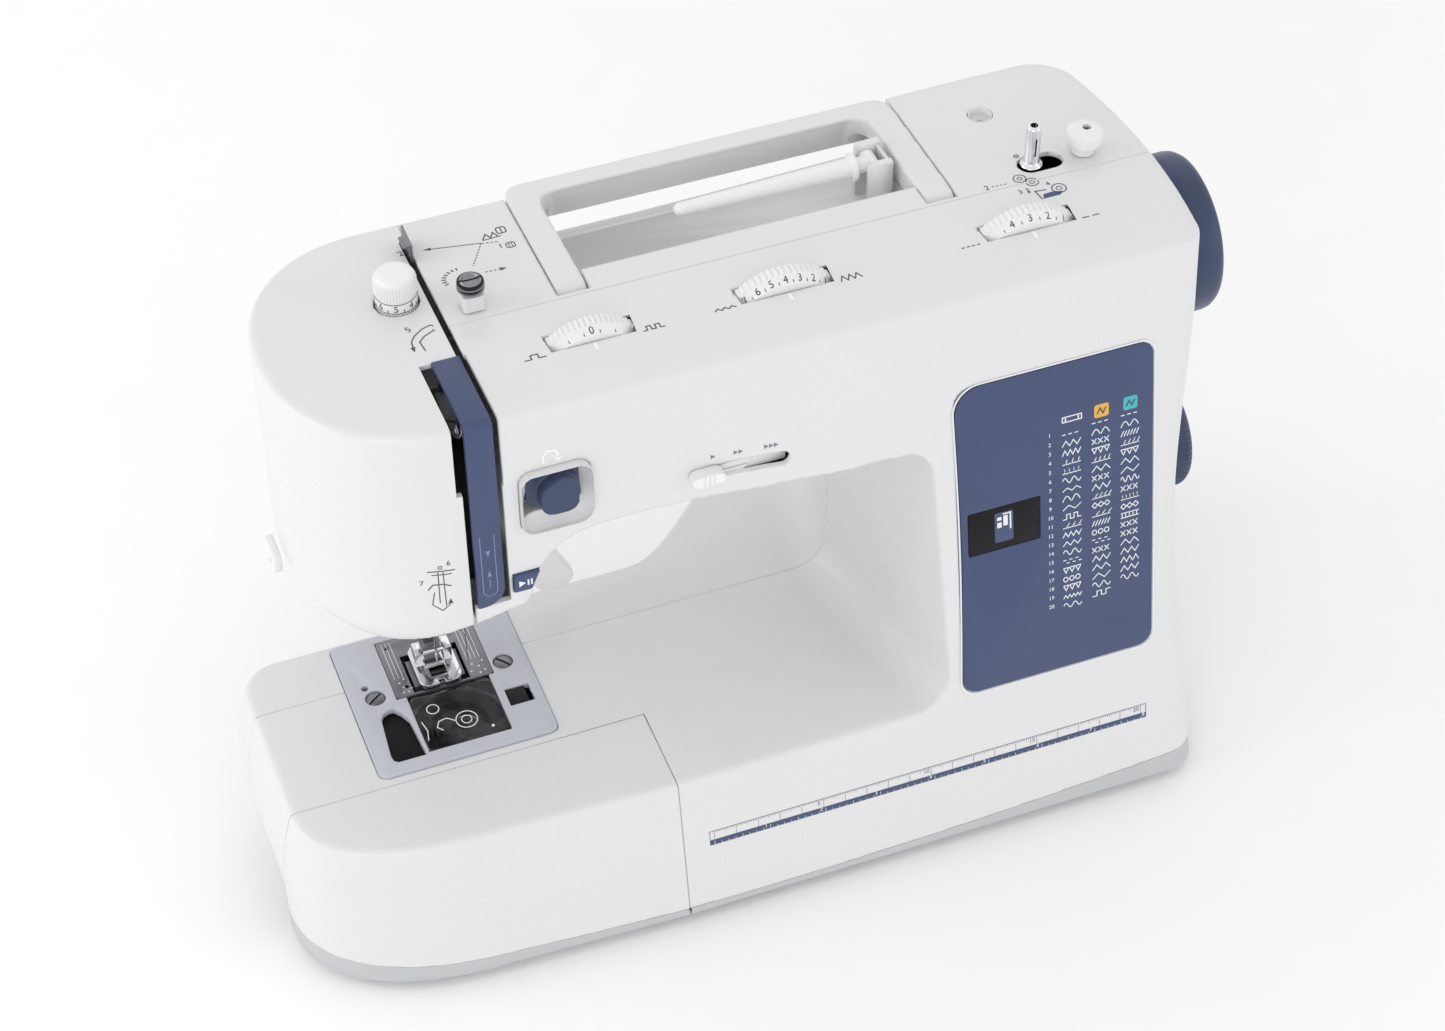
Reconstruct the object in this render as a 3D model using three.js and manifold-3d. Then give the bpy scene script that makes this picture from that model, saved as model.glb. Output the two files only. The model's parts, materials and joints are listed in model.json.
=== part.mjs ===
// Domestic sewing machine with a free arm, top-mounted dials and a folding carry handle.
// Millimetres. +X points from the needle head to the handwheel, +Y to the back, +Z up.
// The origin is on the table under the middle of the machine's bounding box.
import * as THREE from "three";
import { mergeVertices } from "three/addons/utils/BufferGeometryUtils.js";
import Module from "manifold-3d";

const wasm = await Module();
wasm.setup();

// ---- Driving dimensions -------------------------------------------------------------------
const GAP = 0.3; // clearance between pieces that touch
const WALL = 2.8; // thickness of the plastic covers

const TOP_Z = 272; // top of the front edge
const TOP_SLOPE = 0.065; // the top falls towards the back
const TOP_EDGE_Y = -45; // front edge of the top
const TOP_RADIUS = 3.5; // rounding of the top's edges
const COLUMN_LEAN = 0.195; // the column's front face runs forward as it goes down
const HEAD_LEAN = 0.03; // the needle head's front face is nearly upright
const LEAN_FROM = -60; // the lean grows between these two x
const LEAN_TO = 60;
const SEAM_Y = 16; // parting plane of the front and rear covers
const FOOT_HEIGHT = 5;
const HEAD_CENTRE_X = -125; // where the straight sides meet the round end of the head
const HEAD_LENGTH = 60.5; // from there to the tip
const RIGHT_X = 197;
const RIGHT_BOW = 8; // how far the right end falls back at its front and rear corners
const RIGHT_WAIST = 9.5; // how far it is drawn in at mid height
const BACK_Y_LEFT = 90;
const BACK_Y_RIGHT = 96.9;

const BED_Z = 76; // sewing surface
const ARM_BOTTOM_Z = 31; // underside of the free arm
const ARM_LEFT_X = -207.4;
const ARM_FLARE = 6.6; // how far its left end bulges out below the top
const ARM_FRONT_Y = -40.5;
const ARM_BACK_Y = 45;
const BED_LEFT_X = -51.5; // right end of the accessory box
const THROAT_X = 54; // inner wall of the column at the parting plane
const THROAT_DRAFT = 0.19; // the inner wall opens towards the front and the back
const THROAT_TOP_Z = 206;
const THROAT_RADIUS = 17;
const THROAT_TOP_RADIUS = 13;

const NEEDLE = { x: -127, y: 11 };
const HOOK = { x: -125, y: -13 };
const MAIN_SHAFT = { y: 8, z: 227 };
const LOWER_SHAFT = { y: 2, z: 45 };
const SELECTOR = { y: -6, z: 126 };
const HANDWHEEL_X = 196.6; // inner face of the handwheel
const HANDLE = { y: 25.5, z: 260.6, left: -62.5, right: 109, leg: 12.8, radius: 6.5, rear: 71.2 };
const GRIP = { front: 60.5, drop: 16.6 }; // inner face and lower edge, from the handle's pivot

// ---- Colours ------------------------------------------------------------------------------
const finish = (color, roughness, metalness = 0) =>
  new THREE.MeshStandardMaterial({ color, roughness, metalness });
const WHITE = finish(0xeef0f2, 0.42);
const WHITE_SMOOTH = finish(0xf4f5f6, 0.3);
const GREY = finish(0xc9c9cc, 0.45);
const PLATE_GREY = finish(0xb4b8c2, 0.4);
const BLUE = finish(0x55648a, 0.4);
const NAVY = finish(0x3f4d72, 0.4);
const BLACK = finish(0x101114, 0.35);
const RUBBER = finish(0x2a2a2c, 0.85);
const STEEL = finish(0x9a9da3, 0.32, 1);
const CHROME = finish(0xd5d8dc, 0.12, 1);
const CAST = finish(0xa9abae, 0.6, 1);
const CLEAR = new THREE.MeshStandardMaterial({
  color: 0xdfe8ee,
  roughness: 0.08,
  transparent: true,
  opacity: 0.35,
});
const BOARD = finish(0x1f5f3c, 0.5);

// ---- Geometry helpers ---------------------------------------------------------------------
// A closed geometry as a solid that can be cut and joined.
function solid(geometry) {
  const bare = new THREE.BufferGeometry();
  bare.setAttribute("position", geometry.getAttribute("position"));
  if (geometry.index) bare.setIndex(geometry.index);
  const merged = mergeVertices(bare, 1e-4);
  return new wasm.Manifold(
    new wasm.Mesh({
      numProp: 3,
      vertProperties: merged.attributes.position.array,
      triVerts: new Uint32Array(merged.index.array),
    }),
  );
}

function geometryOf(made) {
  const mesh = made.getMesh();
  const geometry = new THREE.BufferGeometry();
  geometry.setAttribute("position", new THREE.BufferAttribute(mesh.vertProperties, 3));
  geometry.setIndex(new THREE.BufferAttribute(mesh.triVerts, 1));
  return geometry;
}

const joined = (...solids) => solids.reduce((whole, piece) => whole.add(piece));
const cut = (body, ...tools) => tools.reduce((rest, tool) => rest.subtract(tool), body);

function box(x0, x1, y0, y1, z0, z1) {
  const geometry = new THREE.BoxGeometry(x1 - x0, y1 - y0, z1 - z0);
  return solid(geometry.translate((x0 + x1) / 2, (y0 + y1) / 2, (z0 + z1) / 2));
}

// A round bar between two places along X, Y or Z; u and v are its two other coordinates.
function bar(axis, u, v, radius, from, to, sides = 16) {
  const geometry = new THREE.CylinderGeometry(radius, radius, to - from, sides);
  geometry.translate(0, (from + to) / 2, 0);
  if (axis === "x") geometry.rotateZ(-Math.PI / 2).translate(0, u, v);
  if (axis === "y") geometry.translate(u, 0, v);
  if (axis === "z") geometry.rotateX(Math.PI / 2).translate(u, v, 0);
  return solid(geometry);
}

// A body turned about an axis parallel to X, Y or Z, from [radius, place along the axis] pairs.
function turned(axis, u, v, profile, sides = 20) {
  const points = profile.map(([radius, along]) => new THREE.Vector2(radius, along));
  const geometry = new THREE.LatheGeometry(points, sides);
  if (axis === "x") geometry.rotateZ(-Math.PI / 2).translate(0, u, v);
  if (axis === "y") geometry.translate(u, 0, v);
  if (axis === "z") geometry.rotateX(Math.PI / 2).translate(u, v, 0);
  return solid(geometry);
}

const shapeOf = (outline) => new THREE.Shape(outline.map(([u, v]) => new THREE.Vector2(u, v)));

// An outline in the XY, XZ or YZ plane pushed along the third axis.
function prism(plane, outline, from, to) {
  const depth = to - from;
  const geometry = new THREE.ExtrudeGeometry(shapeOf(outline), { depth, bevelEnabled: false });
  if (plane === "xy") geometry.translate(0, 0, from);
  if (plane === "xz") geometry.rotateX(Math.PI / 2).translate(0, to, 0);
  if (plane === "yz") geometry.rotateX(Math.PI / 2).rotateZ(Math.PI / 2).translate(from, 0, 0);
  return solid(geometry);
}

// Points of a circle's arc, from one angle to another in degrees.
function arc(u, v, radius, from, to, steps = 6) {
  const points = [];
  for (let i = 0; i <= steps; i += 1) {
    const angle = THREE.MathUtils.degToRad(from + ((to - from) * i) / steps);
    points.push([u + radius * Math.cos(angle), v + radius * Math.sin(angle)]);
  }
  return points;
}

function roundedRectangle(u0, u1, v0, v1, radius, steps = 4) {
  return [
    ...arc(u1 - radius, v0 + radius, radius, -90, 0, steps),
    ...arc(u1 - radius, v1 - radius, radius, 0, 90, steps),
    ...arc(u0 + radius, v1 - radius, radius, 90, 180, steps),
    ...arc(u0 + radius, v0 + radius, radius, 180, 270, steps),
  ];
}

// A solid through rings of points that all have the same number of points.
// The rings run anticlockwise seen against the direction in which they follow each other.
function loft(rings, flatten) {
  const count = rings[0].length;
  const position = rings.flat(2);
  const index = [];
  for (let level = 0; level + 1 < rings.length; level += 1) {
    for (let i = 0; i < count; i += 1) {
      const next = (i + 1) % count;
      const a = level * count + i;
      const b = level * count + next;
      index.push(a, b, b + count, a, b + count, a + count);
    }
  }
  const last = (rings.length - 1) * count;
  const cap = (ring) =>
    THREE.ShapeUtils.triangulateShape(
      ring.map((point) => new THREE.Vector2(...flatten(point))),
      [],
    );
  for (const [a, b, c] of cap(rings[0])) index.push(a, c, b);
  for (const [a, b, c] of cap(rings.at(-1))) index.push(last + a, last + b, last + c);
  const geometry = new THREE.BufferGeometry();
  geometry.setAttribute("position", new THREE.Float32BufferAttribute(position, 3));
  geometry.setIndex(index);
  return solid(geometry);
}

const smooth = (value, from, to) => THREE.MathUtils.smoothstep(value, from, to);
const span = (from, to, steps) =>
  Array.from({ length: steps + 1 }, (_, i) => from + ((to - from) * i) / steps);

// ---- The outer form -----------------------------------------------------------------------
const lean = (x) => HEAD_LEAN + (COLUMN_LEAN - HEAD_LEAN) * smooth(x, LEAN_FROM, LEAN_TO);
const frontY = (x, z) => TOP_EDGE_Y + (z - TOP_Z) * lean(x);
const bedFrontY = (z) => TOP_EDGE_Y + (z - TOP_Z) * COLUMN_LEAN;
const backY = (x) => BACK_Y_LEFT + (BACK_Y_RIGHT - BACK_Y_LEFT) * smooth(x, -20, 150);
const topZ = (y) => TOP_Z - TOP_SLOPE * (y - TOP_EDGE_Y);
// The right end bows outwards along its depth and is drawn in a little at mid height.
const rightX = (y, z) => {
  const half = (BACK_Y_RIGHT - bedFrontY(z)) / 2;
  const middle = (BACK_Y_RIGHT + bedFrontY(z)) / 2;
  const bow = RIGHT_BOW * ((y - middle + 6) / half) ** 2;
  return RIGHT_X - bow - RIGHT_WAIST * Math.sin((Math.PI * z) / TOP_Z) ** 2;
};

// Plan outline of the head, arm and column at one height.
function planRing(z, inset) {
  const under = 170;
  const depth = Math.min(Math.max(under - z, 0), 16);
  const round = depth > 0 ? 16 - Math.sqrt(Math.max(256 - depth * depth, 1)) : 0;
  const tuck = (x) => inset + 0.7 * round * (1 - smooth(x, -100, -70));
  const front = (x) => frontY(x, z) + tuck(x);
  const back = (x) => backY(x) - tuck(x);
  const frontRadius = 14 - inset;
  const backRadius = 17 - inset;
  const outline = [];
  const sideFrom = front(RIGHT_X - 20) + frontRadius;
  const endX = rightX(sideFrom, z) - inset;
  const frontStop = endX - frontRadius;
  for (const x of [HEAD_CENTRE_X, -95, ...span(-65, 65, 7), frontStop]) {
    outline.push([x, front(x)]);
  }
  const corner = 5;
  for (let i = 1; i < corner; i += 1) {
    const angle = (Math.PI / 2) * (i / corner);
    const y = sideFrom - frontRadius * Math.cos(angle);
    outline.push([frontStop + frontRadius * Math.sin(angle), y]);
  }
  const sideTo = back(endX) - backRadius;
  for (const y of span(sideFrom, sideTo, 6)) outline.push([rightX(y, z) - inset, y]);
  for (let i = 1; i < corner; i += 1) {
    const angle = (Math.PI / 2) * (i / corner);
    const y = sideTo + backRadius * Math.sin(angle);
    outline.push([rightX(y, z) - inset - backRadius * (1 - Math.cos(angle)), y]);
  }
  const backStop = rightX(sideTo, z) - inset - backRadius;
  for (const x of [backStop, 145, 115, 85, 55, 25, -5, -40, -80, HEAD_CENTRE_X]) {
    outline.push([x, back(x)]);
  }
  const middle = (front(HEAD_CENTRE_X) + back(HEAD_CENTRE_X)) / 2;
  const half = (back(HEAD_CENTRE_X) - front(HEAD_CENTRE_X)) / 2;
  const length = HEAD_LENGTH - tuck(HEAD_CENTRE_X);
  const power = 2 / 2.2;
  const steps = 20;
  for (let i = 1; i < steps; i += 1) {
    const angle = (Math.PI * i) / steps;
    const side = Math.cos(angle);
    outline.push([
      HEAD_CENTRE_X - length * Math.sin(angle) ** power,
      middle + half * Math.sign(side) * Math.abs(side) ** power,
    ]);
  }
  return outline;
}

// Head, arm and column in one piece down to the base, before the throat is taken out.
function upperForm(inset, bottom) {
  const crown = TOP_Z - inset;
  const radius = TOP_RADIUS - inset * 0.6;
  const rings = [];
  const place = (outline, z) => {
    const tilt = TOP_SLOPE * smooth(z, 170, TOP_Z - 20);
    rings.push(outline.map(([x, y]) => [x, y, z - tilt * (y - TOP_EDGE_Y)]));
  };
  for (const z of [bottom, 60, 110, 152, 156, 161, 166, 171, 200, 232]) place(planRing(z, inset), z);
  const steps = 4;
  for (let i = 0; i <= steps; i += 1) {
    const angle = (Math.PI / 2) * (i / steps);
    const z = crown - radius + radius * Math.sin(angle);
    place(planRing(z, inset + radius * (1 - Math.cos(angle))), z);
  }
  return loft(rings, ([x, y]) => [x, y]);
}

// The space left of the column and under the arm and the head; grow makes it larger all round.
function throatForm(grow) {
  const outlineAt = (y) => {
    const wall = THROAT_X + THROAT_DRAFT * Math.abs(y - SEAM_Y) + grow;
    const top = THROAT_TOP_Z + grow;
    const low = BED_Z - grow;
    const cornerX = wall - THROAT_RADIUS;
    return [
      [-270, -40],
      [cornerX, -40],
      [cornerX, low],
      ...arc(cornerX, low + THROAT_RADIUS, THROAT_RADIUS, -90, 0, 7).slice(1),
      ...arc(wall - THROAT_TOP_RADIUS, top - THROAT_TOP_RADIUS, THROAT_TOP_RADIUS, 0, 90, 6),
      ...arc(-70, top - grow - 32, 28 + grow, 90, 174, 8),
      [-102, 170 + grow],
      [-270, 133 + grow],
    ];
  };
  const rings = [-140, SEAM_Y, 140].map((y) => outlineAt(y).map(([x, z]) => [x, y, z]));
  // Seen against +Y the outline runs clockwise, so each ring is turned round.
  rings.forEach((ring) => ring.reverse());
  return loft(rings, ([x, , z]) => [z, x]);
}

// The left ends of the free arm and of the accessory box are flush and flare out downwards.
function leftEndX(z) {
  const up = THREE.MathUtils.clamp((z - ARM_BOTTOM_Z) / (BED_Z - ARM_BOTTOM_Z), 0, 1);
  return ARM_LEFT_X - ARM_FLARE * (1 - up ** 2);
}

// Free arm: a long box whose front face meets the accessory box.
function freeArmForm(inset, bottom) {
  const ringAt = (z, edge) => {
    const x0 = leftEndX(z) + inset + edge;
    const y0 = ARM_FRONT_Y + inset;
    const y1 = ARM_BACK_Y - inset - edge;
    const radius = 16 - inset;
    const outline = [
      [-40, y0],
      [-40, y1],
      ...arc(x0 + radius, y1 - radius, radius, 90, 180, 5),
      [x0, y0],
    ];
    return outline.map(([x, y]) => [x, y, z]);
  };
  const top = BED_Z - inset;
  const rings = [
    ringAt(bottom, 0),
    ringAt(45, 0),
    ringAt(60, 0),
    ringAt(top - 2, 0),
    ringAt(top - 0.6, 0.6),
    ringAt(top, 2),
  ];
  return loft(rings, ([x, y]) => [x, y]);
}

// Bed and base in front of and below the throat, with its back curving out to the column.
function bedForm(inset, bottom) {
  const ringAt = (z, edge) => {
    const i = inset + edge;
    const x0 = BED_LEFT_X + inset;
    const front = bedFrontY(z) + i;
    const back = (x) => ARM_BACK_Y + (BACK_Y_LEFT - ARM_BACK_Y) * smooth(x, -30, 40) - i;
    const outline = [
      [x0, front],
      ...span(0, 68, 4).map((x) => [x, front]),
      ...span(68, -35, 9).map((x) => [x, back(x)]),
      [x0, back(x0)],
    ];
    return outline.map(([x, y]) => [x, y, z]);
  };
  const top = BED_Z - inset;
  const rings = [
    ringAt(bottom, 0),
    ringAt(top - 2, 0),
    ringAt(top - 0.6, 0.6),
    ringAt(top, 2),
  ];
  return loft(rings, ([x, y]) => [x, y]);
}

// The covers stand on an arched line: low in the middle and higher at both ends.
const archZ = (x) => 8 + 7.5 * ((x + 10) / 195) ** 2;
function belowArch(offset, x0, x1, y0, y1) {
  const line = span(x0, x1, 16).map((x) => [x, archZ(x) + offset]);
  return prism("xz", [[x0, -60], [x1, -60], ...line.reverse()], y0, y1);
}

// ---- Assembly -----------------------------------------------------------------------------
const group = new THREE.Group();

function add(name, made, material, place = [0, 0, 0], parent = group) {
  const mesh = new THREE.Mesh(geometryOf(made), material);
  mesh.name = name;
  mesh.position.set(...place);
  parent.add(mesh);
  return mesh;
}

// Pieces on the column's leaning front face are made on an upright face at y = 0 and leant back.
const LEAN_ANGLE = Math.atan(COLUMN_LEAN);
const alongFace = (z) => z / Math.cos(LEAN_ANGLE);
const FACE_Y = bedFrontY(0);
function onColumnFace(outline, depthFrom, depthTo) {
  const shape = shapeOf(outline);
  const geometry = new THREE.ExtrudeGeometry(shape, {
    depth: depthTo - depthFrom,
    bevelEnabled: false,
  });
  geometry.rotateX(Math.PI / 2).translate(0, depthTo, 0);
  return solid(geometry.rotateX(-LEAN_ANGLE).translate(0, FACE_Y, 0));
}

const DIALS = [
  { name: "balance_dial", x: -59.2, radius: 26, rise: 5.5 },
  { name: "stitch_width_dial", x: 21.8, radius: 29, rise: 6.4 },
  { name: "stitch_length_dial", x: 127.5, radius: 29, rise: 6.4 },
];
const DIAL_Y0 = -13.5;
const DIAL_Y1 = -4.5;
const dialZ = (dial) => topZ((DIAL_Y0 + DIAL_Y1) / 2) + dial.rise - dial.radius;

const PANEL = { x0: 78, x1: 167, z0: 79, z1: 231, radius: 7, depth: 1.6 };
const WINDOW = { x0: 82.5, x1: 115.3, z0: 149, z1: 170.5 };
const LEVER = { x0: -102.5, x1: -72.5, z0: 209, z1: 241 };
const SLIDER = { x0: -34, x1: 9, z: 217.6, knob: -26 };
const RECESS = { x0: -49.7, x1: 96.2, y: 31, floor: 241, lip: 234, legFloor: 253.2 };
const SPOOL_PIN = { x: 86.8, y: 57, z: 262 };
const EAR_TOP = 267.2; // clears the flange of the spool pin as it swings up
const SPOOL_HOLE = { x: 141, y: 67.3, radius: 5.5 };
const WINDER = { x: 146, y: 27, slotEnd: 160 };
const TENSION = { x: -123.3, y: 39 };
const GUIDE = { x0: -122.2, x1: -110.8, bottom: 175 };
const PLATE = { x0: -167, x1: -88, y0: -36.6, y1: 42, z: 73.2 };
const STITCH_PLATE = { x0: -147.5, x1: -104.4, y0: 4, y1: 38 };
const BOBBIN_LID = { x0: -143.2, x1: -106.8, y0: -28.8, y1: 2.4 };
const FINGER_RECESS = [
  [-157, -30],
  [-144.6, -30],
  [-145.9, -8.7],
  [-148.2, -3.6],
  [-150.6, -0.6],
  [-152.4, -0.3],
  [-155.4, -1.6],
  [-157.2, -4.4],
  [-159.2, -25.4],
  [-158.8, -28.6],
];
const LATCH = { x: -98.7, y: -11.8, half: 4.2, travel: 2 };
const LIFTER = { x: -106, y0: 33.5, y1: 39, z: 176 };
const LIFTER_CLEAR = 0.8; // the slot is wider than the lever on each side
const INLET = { y0: 34, y1: 62, z0: 30, z1: 52 };
const SWITCH = { y0: 38, y1: 58, z0: 61, z1: 79 };

// ---- Covers -------------------------------------------------------------------------------
function faceCoverRegion(shrink) {
  const edge = (x) => x - shrink;
  return joined(
    box(-240, edge(-124.6), -140, -3, 120, 237),
    box(-240, edge(-127), -140, -3, 236.9, 300),
    box(-240, edge(-111.5), -3.1, 140, 120, 300),
    box(-120, edge(-108.5), 76, 140, 120, 300),
  );
}

// The recess's floor falls away to a lip at the back, so fingers reach under the grip.
function recessFloor(drop) {
  return [
    [RECESS.y - drop, 300],
    [RECESS.y - drop, RECESS.floor - drop],
    [80, RECESS.floor - drop],
    [98, RECESS.lip - drop],
    [130, RECESS.lip - drop],
    [130, 300],
  ];
}

function handlePocket() {
  const { left, right, leg, y, z } = HANDLE;
  const clear = 0.8;
  return joined(
    box(left - clear, left + leg + clear, y - 7.3, 130, RECESS.legFloor, 300),
    box(right - leg - clear, right + clear, y - 7.3, 130, RECESS.legFloor, 300),
    box(left - clear, right + clear, y + GRIP.front - clear, 130, z - GRIP.drop - clear, 300),
    prism("yz", recessFloor(0), RECESS.x0, RECESS.x1),
  );
}

function makeCovers() {
  const throat = throatForm(0);
  const upper = cut(upperForm(0, 2), throat);
  const outer = joined(upper, bedForm(0, 2), freeArmForm(0, ARM_BOTTOM_Z));
  const hollow = joined(
    cut(upperForm(WALL, -20), throatForm(WALL)),
    bedForm(WALL, -20),
    freeArmForm(WALL, 10),
  );
  // Walls under the handle's recess, its bearings, and the pocket round the reverse lever.
  const recessWalls = joined(
    box(HANDLE.left - 4, HANDLE.right + 4, SEAM_Y, 130, RECESS.legFloor - WALL, 300),
    box(HANDLE.left - 4, HANDLE.right + 4, 82, 130, HANDLE.z - GRIP.drop - 4, 300),
    prism("yz", recessFloor(WALL), RECESS.x0 - 4, RECESS.x1 + 4),
  );
  const leverWalls = box(LEVER.x0 - 2, LEVER.x1 + 2, -60, -34, LEVER.z0 - 2, LEVER.z1 + 2);
  const reliefUnderTop = box(RECESS.x0 + 4, RECESS.x1 - 4, 10, RECESS.y - WALL, 240, 264.6);
  const lined = joined(cut(outer, hollow), recessWalls.intersect(outer), leverWalls.intersect(outer));
  const shell = cut(
    lined,
    belowArch(0, -230, 230, -140, 140),
    handlePocket(),
    reliefUnderTop,
    bar("x", HANDLE.y, HANDLE.z, 2.9, HANDLE.left - 3, HANDLE.left, 16),
    bar("x", HANDLE.y, HANDLE.z, 2.9, HANDLE.right, HANDLE.right + 3, 16),
    prism("xz", roundedRectangle(LEVER.x0, LEVER.x1, LEVER.z0, LEVER.z1, 6), -70, -37),
    box(LEVER.x0 + 4, LEVER.x0 + 17, -40, -30, 217, 238),
    prism("xz", [[-107.3, 178.6], [-99.4, 178.6], [-95.4, 188.6], [-107.3, 188.6]], -60, -36),
    prism("xz", roundedRectangle(SLIDER.x0, SLIDER.x1, 214, 221.2, 3.5), -60, -47.6),
    box(SLIDER.x0 + 5, SLIDER.x1 - 2, -60, -40, 216, 219.2),
    onColumnFace(
      roundedRectangle(PANEL.x0, PANEL.x1, alongFace(PANEL.z0), alongFace(PANEL.z1), PANEL.radius),
      -6,
      PANEL.depth,
    ),
    onColumnFace(
      roundedRectangle(WINDOW.x0 + 4, WINDOW.x1 - 4, alongFace(152), alongFace(167.5), 1),
      -6,
      8,
    ),
    bar("x", MAIN_SHAFT.y, MAIN_SHAFT.z, 6, 180, 230, 20),
    bar("x", SELECTOR.y, SELECTOR.z, 5, 180, 230, 20),
    box(180, 230, INLET.y0, INLET.y1, INLET.z0, INLET.z1),
    box(180, 230, SWITCH.y0, SWITCH.y1, SWITCH.z0, SWITCH.z1),
    bar("z", SPOOL_HOLE.x, SPOOL_HOLE.y, SPOOL_HOLE.radius, 240, 290, 24),
    prism("xy", roundedRectangle(WINDER.x - 6, WINDER.slotEnd, 21.2, 32.8, 5.6, 5), 250, 290),
    bar("z", 169.5, 27, 3, 250, 290, 16),
    bar("z", -96.5, 25, 2.6, 250, 290, 16),
    bar("z", TENSION.x, TENSION.y, 9.4, 250, 290, 28),
    prism("xy", roundedRectangle(PLATE.x0 - GAP, PLATE.x1 + GAP, PLATE.y0 - GAP, PLATE.y1 + GAP, 4), 60, 90),
    box(-150, -106, -14, 37, 130, 176),
    prism(
      "xz",
      [[-116, 184], [-92, 196], [-62, 160], [-62, 140], [-116, 140]],
      LIFTER.y0 - LIFTER_CLEAR,
      LIFTER.y1 + LIFTER_CLEAR,
    ),
    ...DIALS.map((dial) =>
      bar("y", dial.x, dialZ(dial), dial.radius + 1, DIAL_Y0 - 1, DIAL_Y1 + 1, 40),
    ),
  );
  // The thread slot beside the needle, wide on top and narrower down the front.
  const guideSlot = joined(
    box(-127.1, -108, -140, -3, 237, 300),
    box(-125.6, -108.4, -140, -20, GUIDE.bottom, 238),
    box(-124.7, -123, -140, -14, 120, GUIDE.bottom + 1),
    box(-111.6, -108.5, -3.1, 75.6, 240, 300),
  );
  const rest = cut(shell, faceCoverRegion(-GAP), guideSlot);
  const front = rest.intersect(box(-230, 230, -140, SEAM_Y, -10, 300));
  const rear = rest.intersect(box(-230, 230, SEAM_Y + GAP, 140, -10, 300));
  // Ears that carry the horizontal spool pin stand on the floor of the recess.
  const ears = joined(
    box(SPOOL_PIN.x - 4, SPOOL_PIN.x + 6.6, 48.2, 51.4, RECESS.floor - 0.5, EAR_TOP),
    box(SPOOL_PIN.x - 4, SPOOL_PIN.x + 6.6, 62.6, 65.8, RECESS.floor - 0.5, EAR_TOP),
    box(SPOOL_PIN.x + 4.8, SPOOL_PIN.x + 6.6, 48.2, 65.8, RECESS.floor - 0.5, 266),
  );
  add("front_cover", front, WHITE);
  add("rear_cover", joined(rear, ears), WHITE);
  const face = shell.intersect(cut(faceCoverRegion(0), box(-111.6, -100, -3.1, 75.6, 240, 300)));
  add("face_cover", face, WHITE);

  const baseForm = joined(cut(upperForm(0.4, 2), throatForm(0.4)), bedForm(0.4, 2));
  const tray = cut(
    baseForm.intersect(box(-230, 230, -140, 140, FOOT_HEIGHT, 20)).intersect(
      belowArch(-GAP, -230, 230, -140, 140),
    ),
    joined(cut(upperForm(WALL + 2, -20), throatForm(WALL + 2)), bedForm(WALL + 2, -20)).intersect(
      box(-230, 230, -140, 140, FOOT_HEIGHT + 2.6, 30),
    ),
  );
  add("base_tray", tray, GREY);
  const armFloor = freeArmForm(WALL + 2 * GAP, ARM_BOTTOM_Z + 0.2).intersect(
    box(-230, BED_LEFT_X - GAP, -60, 60, ARM_BOTTOM_Z, ARM_BOTTOM_Z + 2.8),
  );
  add("arm_under_cover", armFloor, WHITE);
  const feet = { front_left: [-34, -76], front_right: [166, -72], rear_left: [-34, 28], rear_right: [166, 74] };
  for (const [corner, [x, y]] of Object.entries(feet)) {
    const foot = turned("z", 0, 0, [[0, 0], [8, 0], [9, 1], [9, 4.7], [0, 4.7]], 24);
    add(`foot_${corner}`, foot, RUBBER, [x, y, 0]);
  }
}

// ---- Accessory box in front of the free arm -----------------------------------------------
function accessoryForm(inset, bottom, top, backY) {
  const ringAt = (z, edge) => {
    const i = inset + edge;
    const down = (BED_Z - z) / 71;
    const long = -126 - leftEndX(z) - i;
    const deep = 39.6 + 14 * down - i;
    const outline = [];
    const steps = 12;
    for (let k = 0; k <= steps; k += 1) {
      const angle = (Math.PI / 2) * (k / steps);
      const u = Math.cos(angle) ** (2 / 2.4);
      const v = Math.sin(angle) ** (2 / 2.4);
      outline.push([-126 - long * u, -41 - deep * v]);
    }
    const right = BED_LEFT_X - 0.4 - inset;
    outline.push([right, bedFrontY(z) - 0.2 + i], [right, backY], [-126 - long, backY]);
    return outline.map(([x, y]) => [x, y, z]);
  };
  return loft(
    [
      ringAt(bottom, 0),
      ringAt(ARM_BOTTOM_Z, 0),
      ringAt(45, 0),
      ringAt(60, 0),
      ringAt(top - 2, 0),
      ringAt(top - 0.6, 0.6),
      ringAt(top, 2),
    ],
    ([x, y]) => [x, y],
  );
}

function makeAccessoryBox() {
  const outer = accessoryForm(0, 2, BED_Z, ARM_FRONT_Y - 0.4);
  const inner = accessoryForm(2.5, -5, BED_Z - 2.5, ARM_FRONT_Y + 4);
  add("accessory_box", cut(outer, inner, belowArch(0, -230, 0, -140, 0)), WHITE);
  const base = cut(
    accessoryForm(0.4, 2, BED_Z, ARM_FRONT_Y - 0.4)
      .intersect(box(-230, 0, -140, 0, FOOT_HEIGHT, 20))
      .intersect(belowArch(-GAP, -230, 0, -140, 0)),
    accessoryForm(4, -5, BED_Z, ARM_FRONT_Y + 4).intersect(
      box(-230, 0, -140, 0, FOOT_HEIGHT + 2.2, 30),
    ),
  );
  add("accessory_box_base", base, GREY);
}

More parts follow.
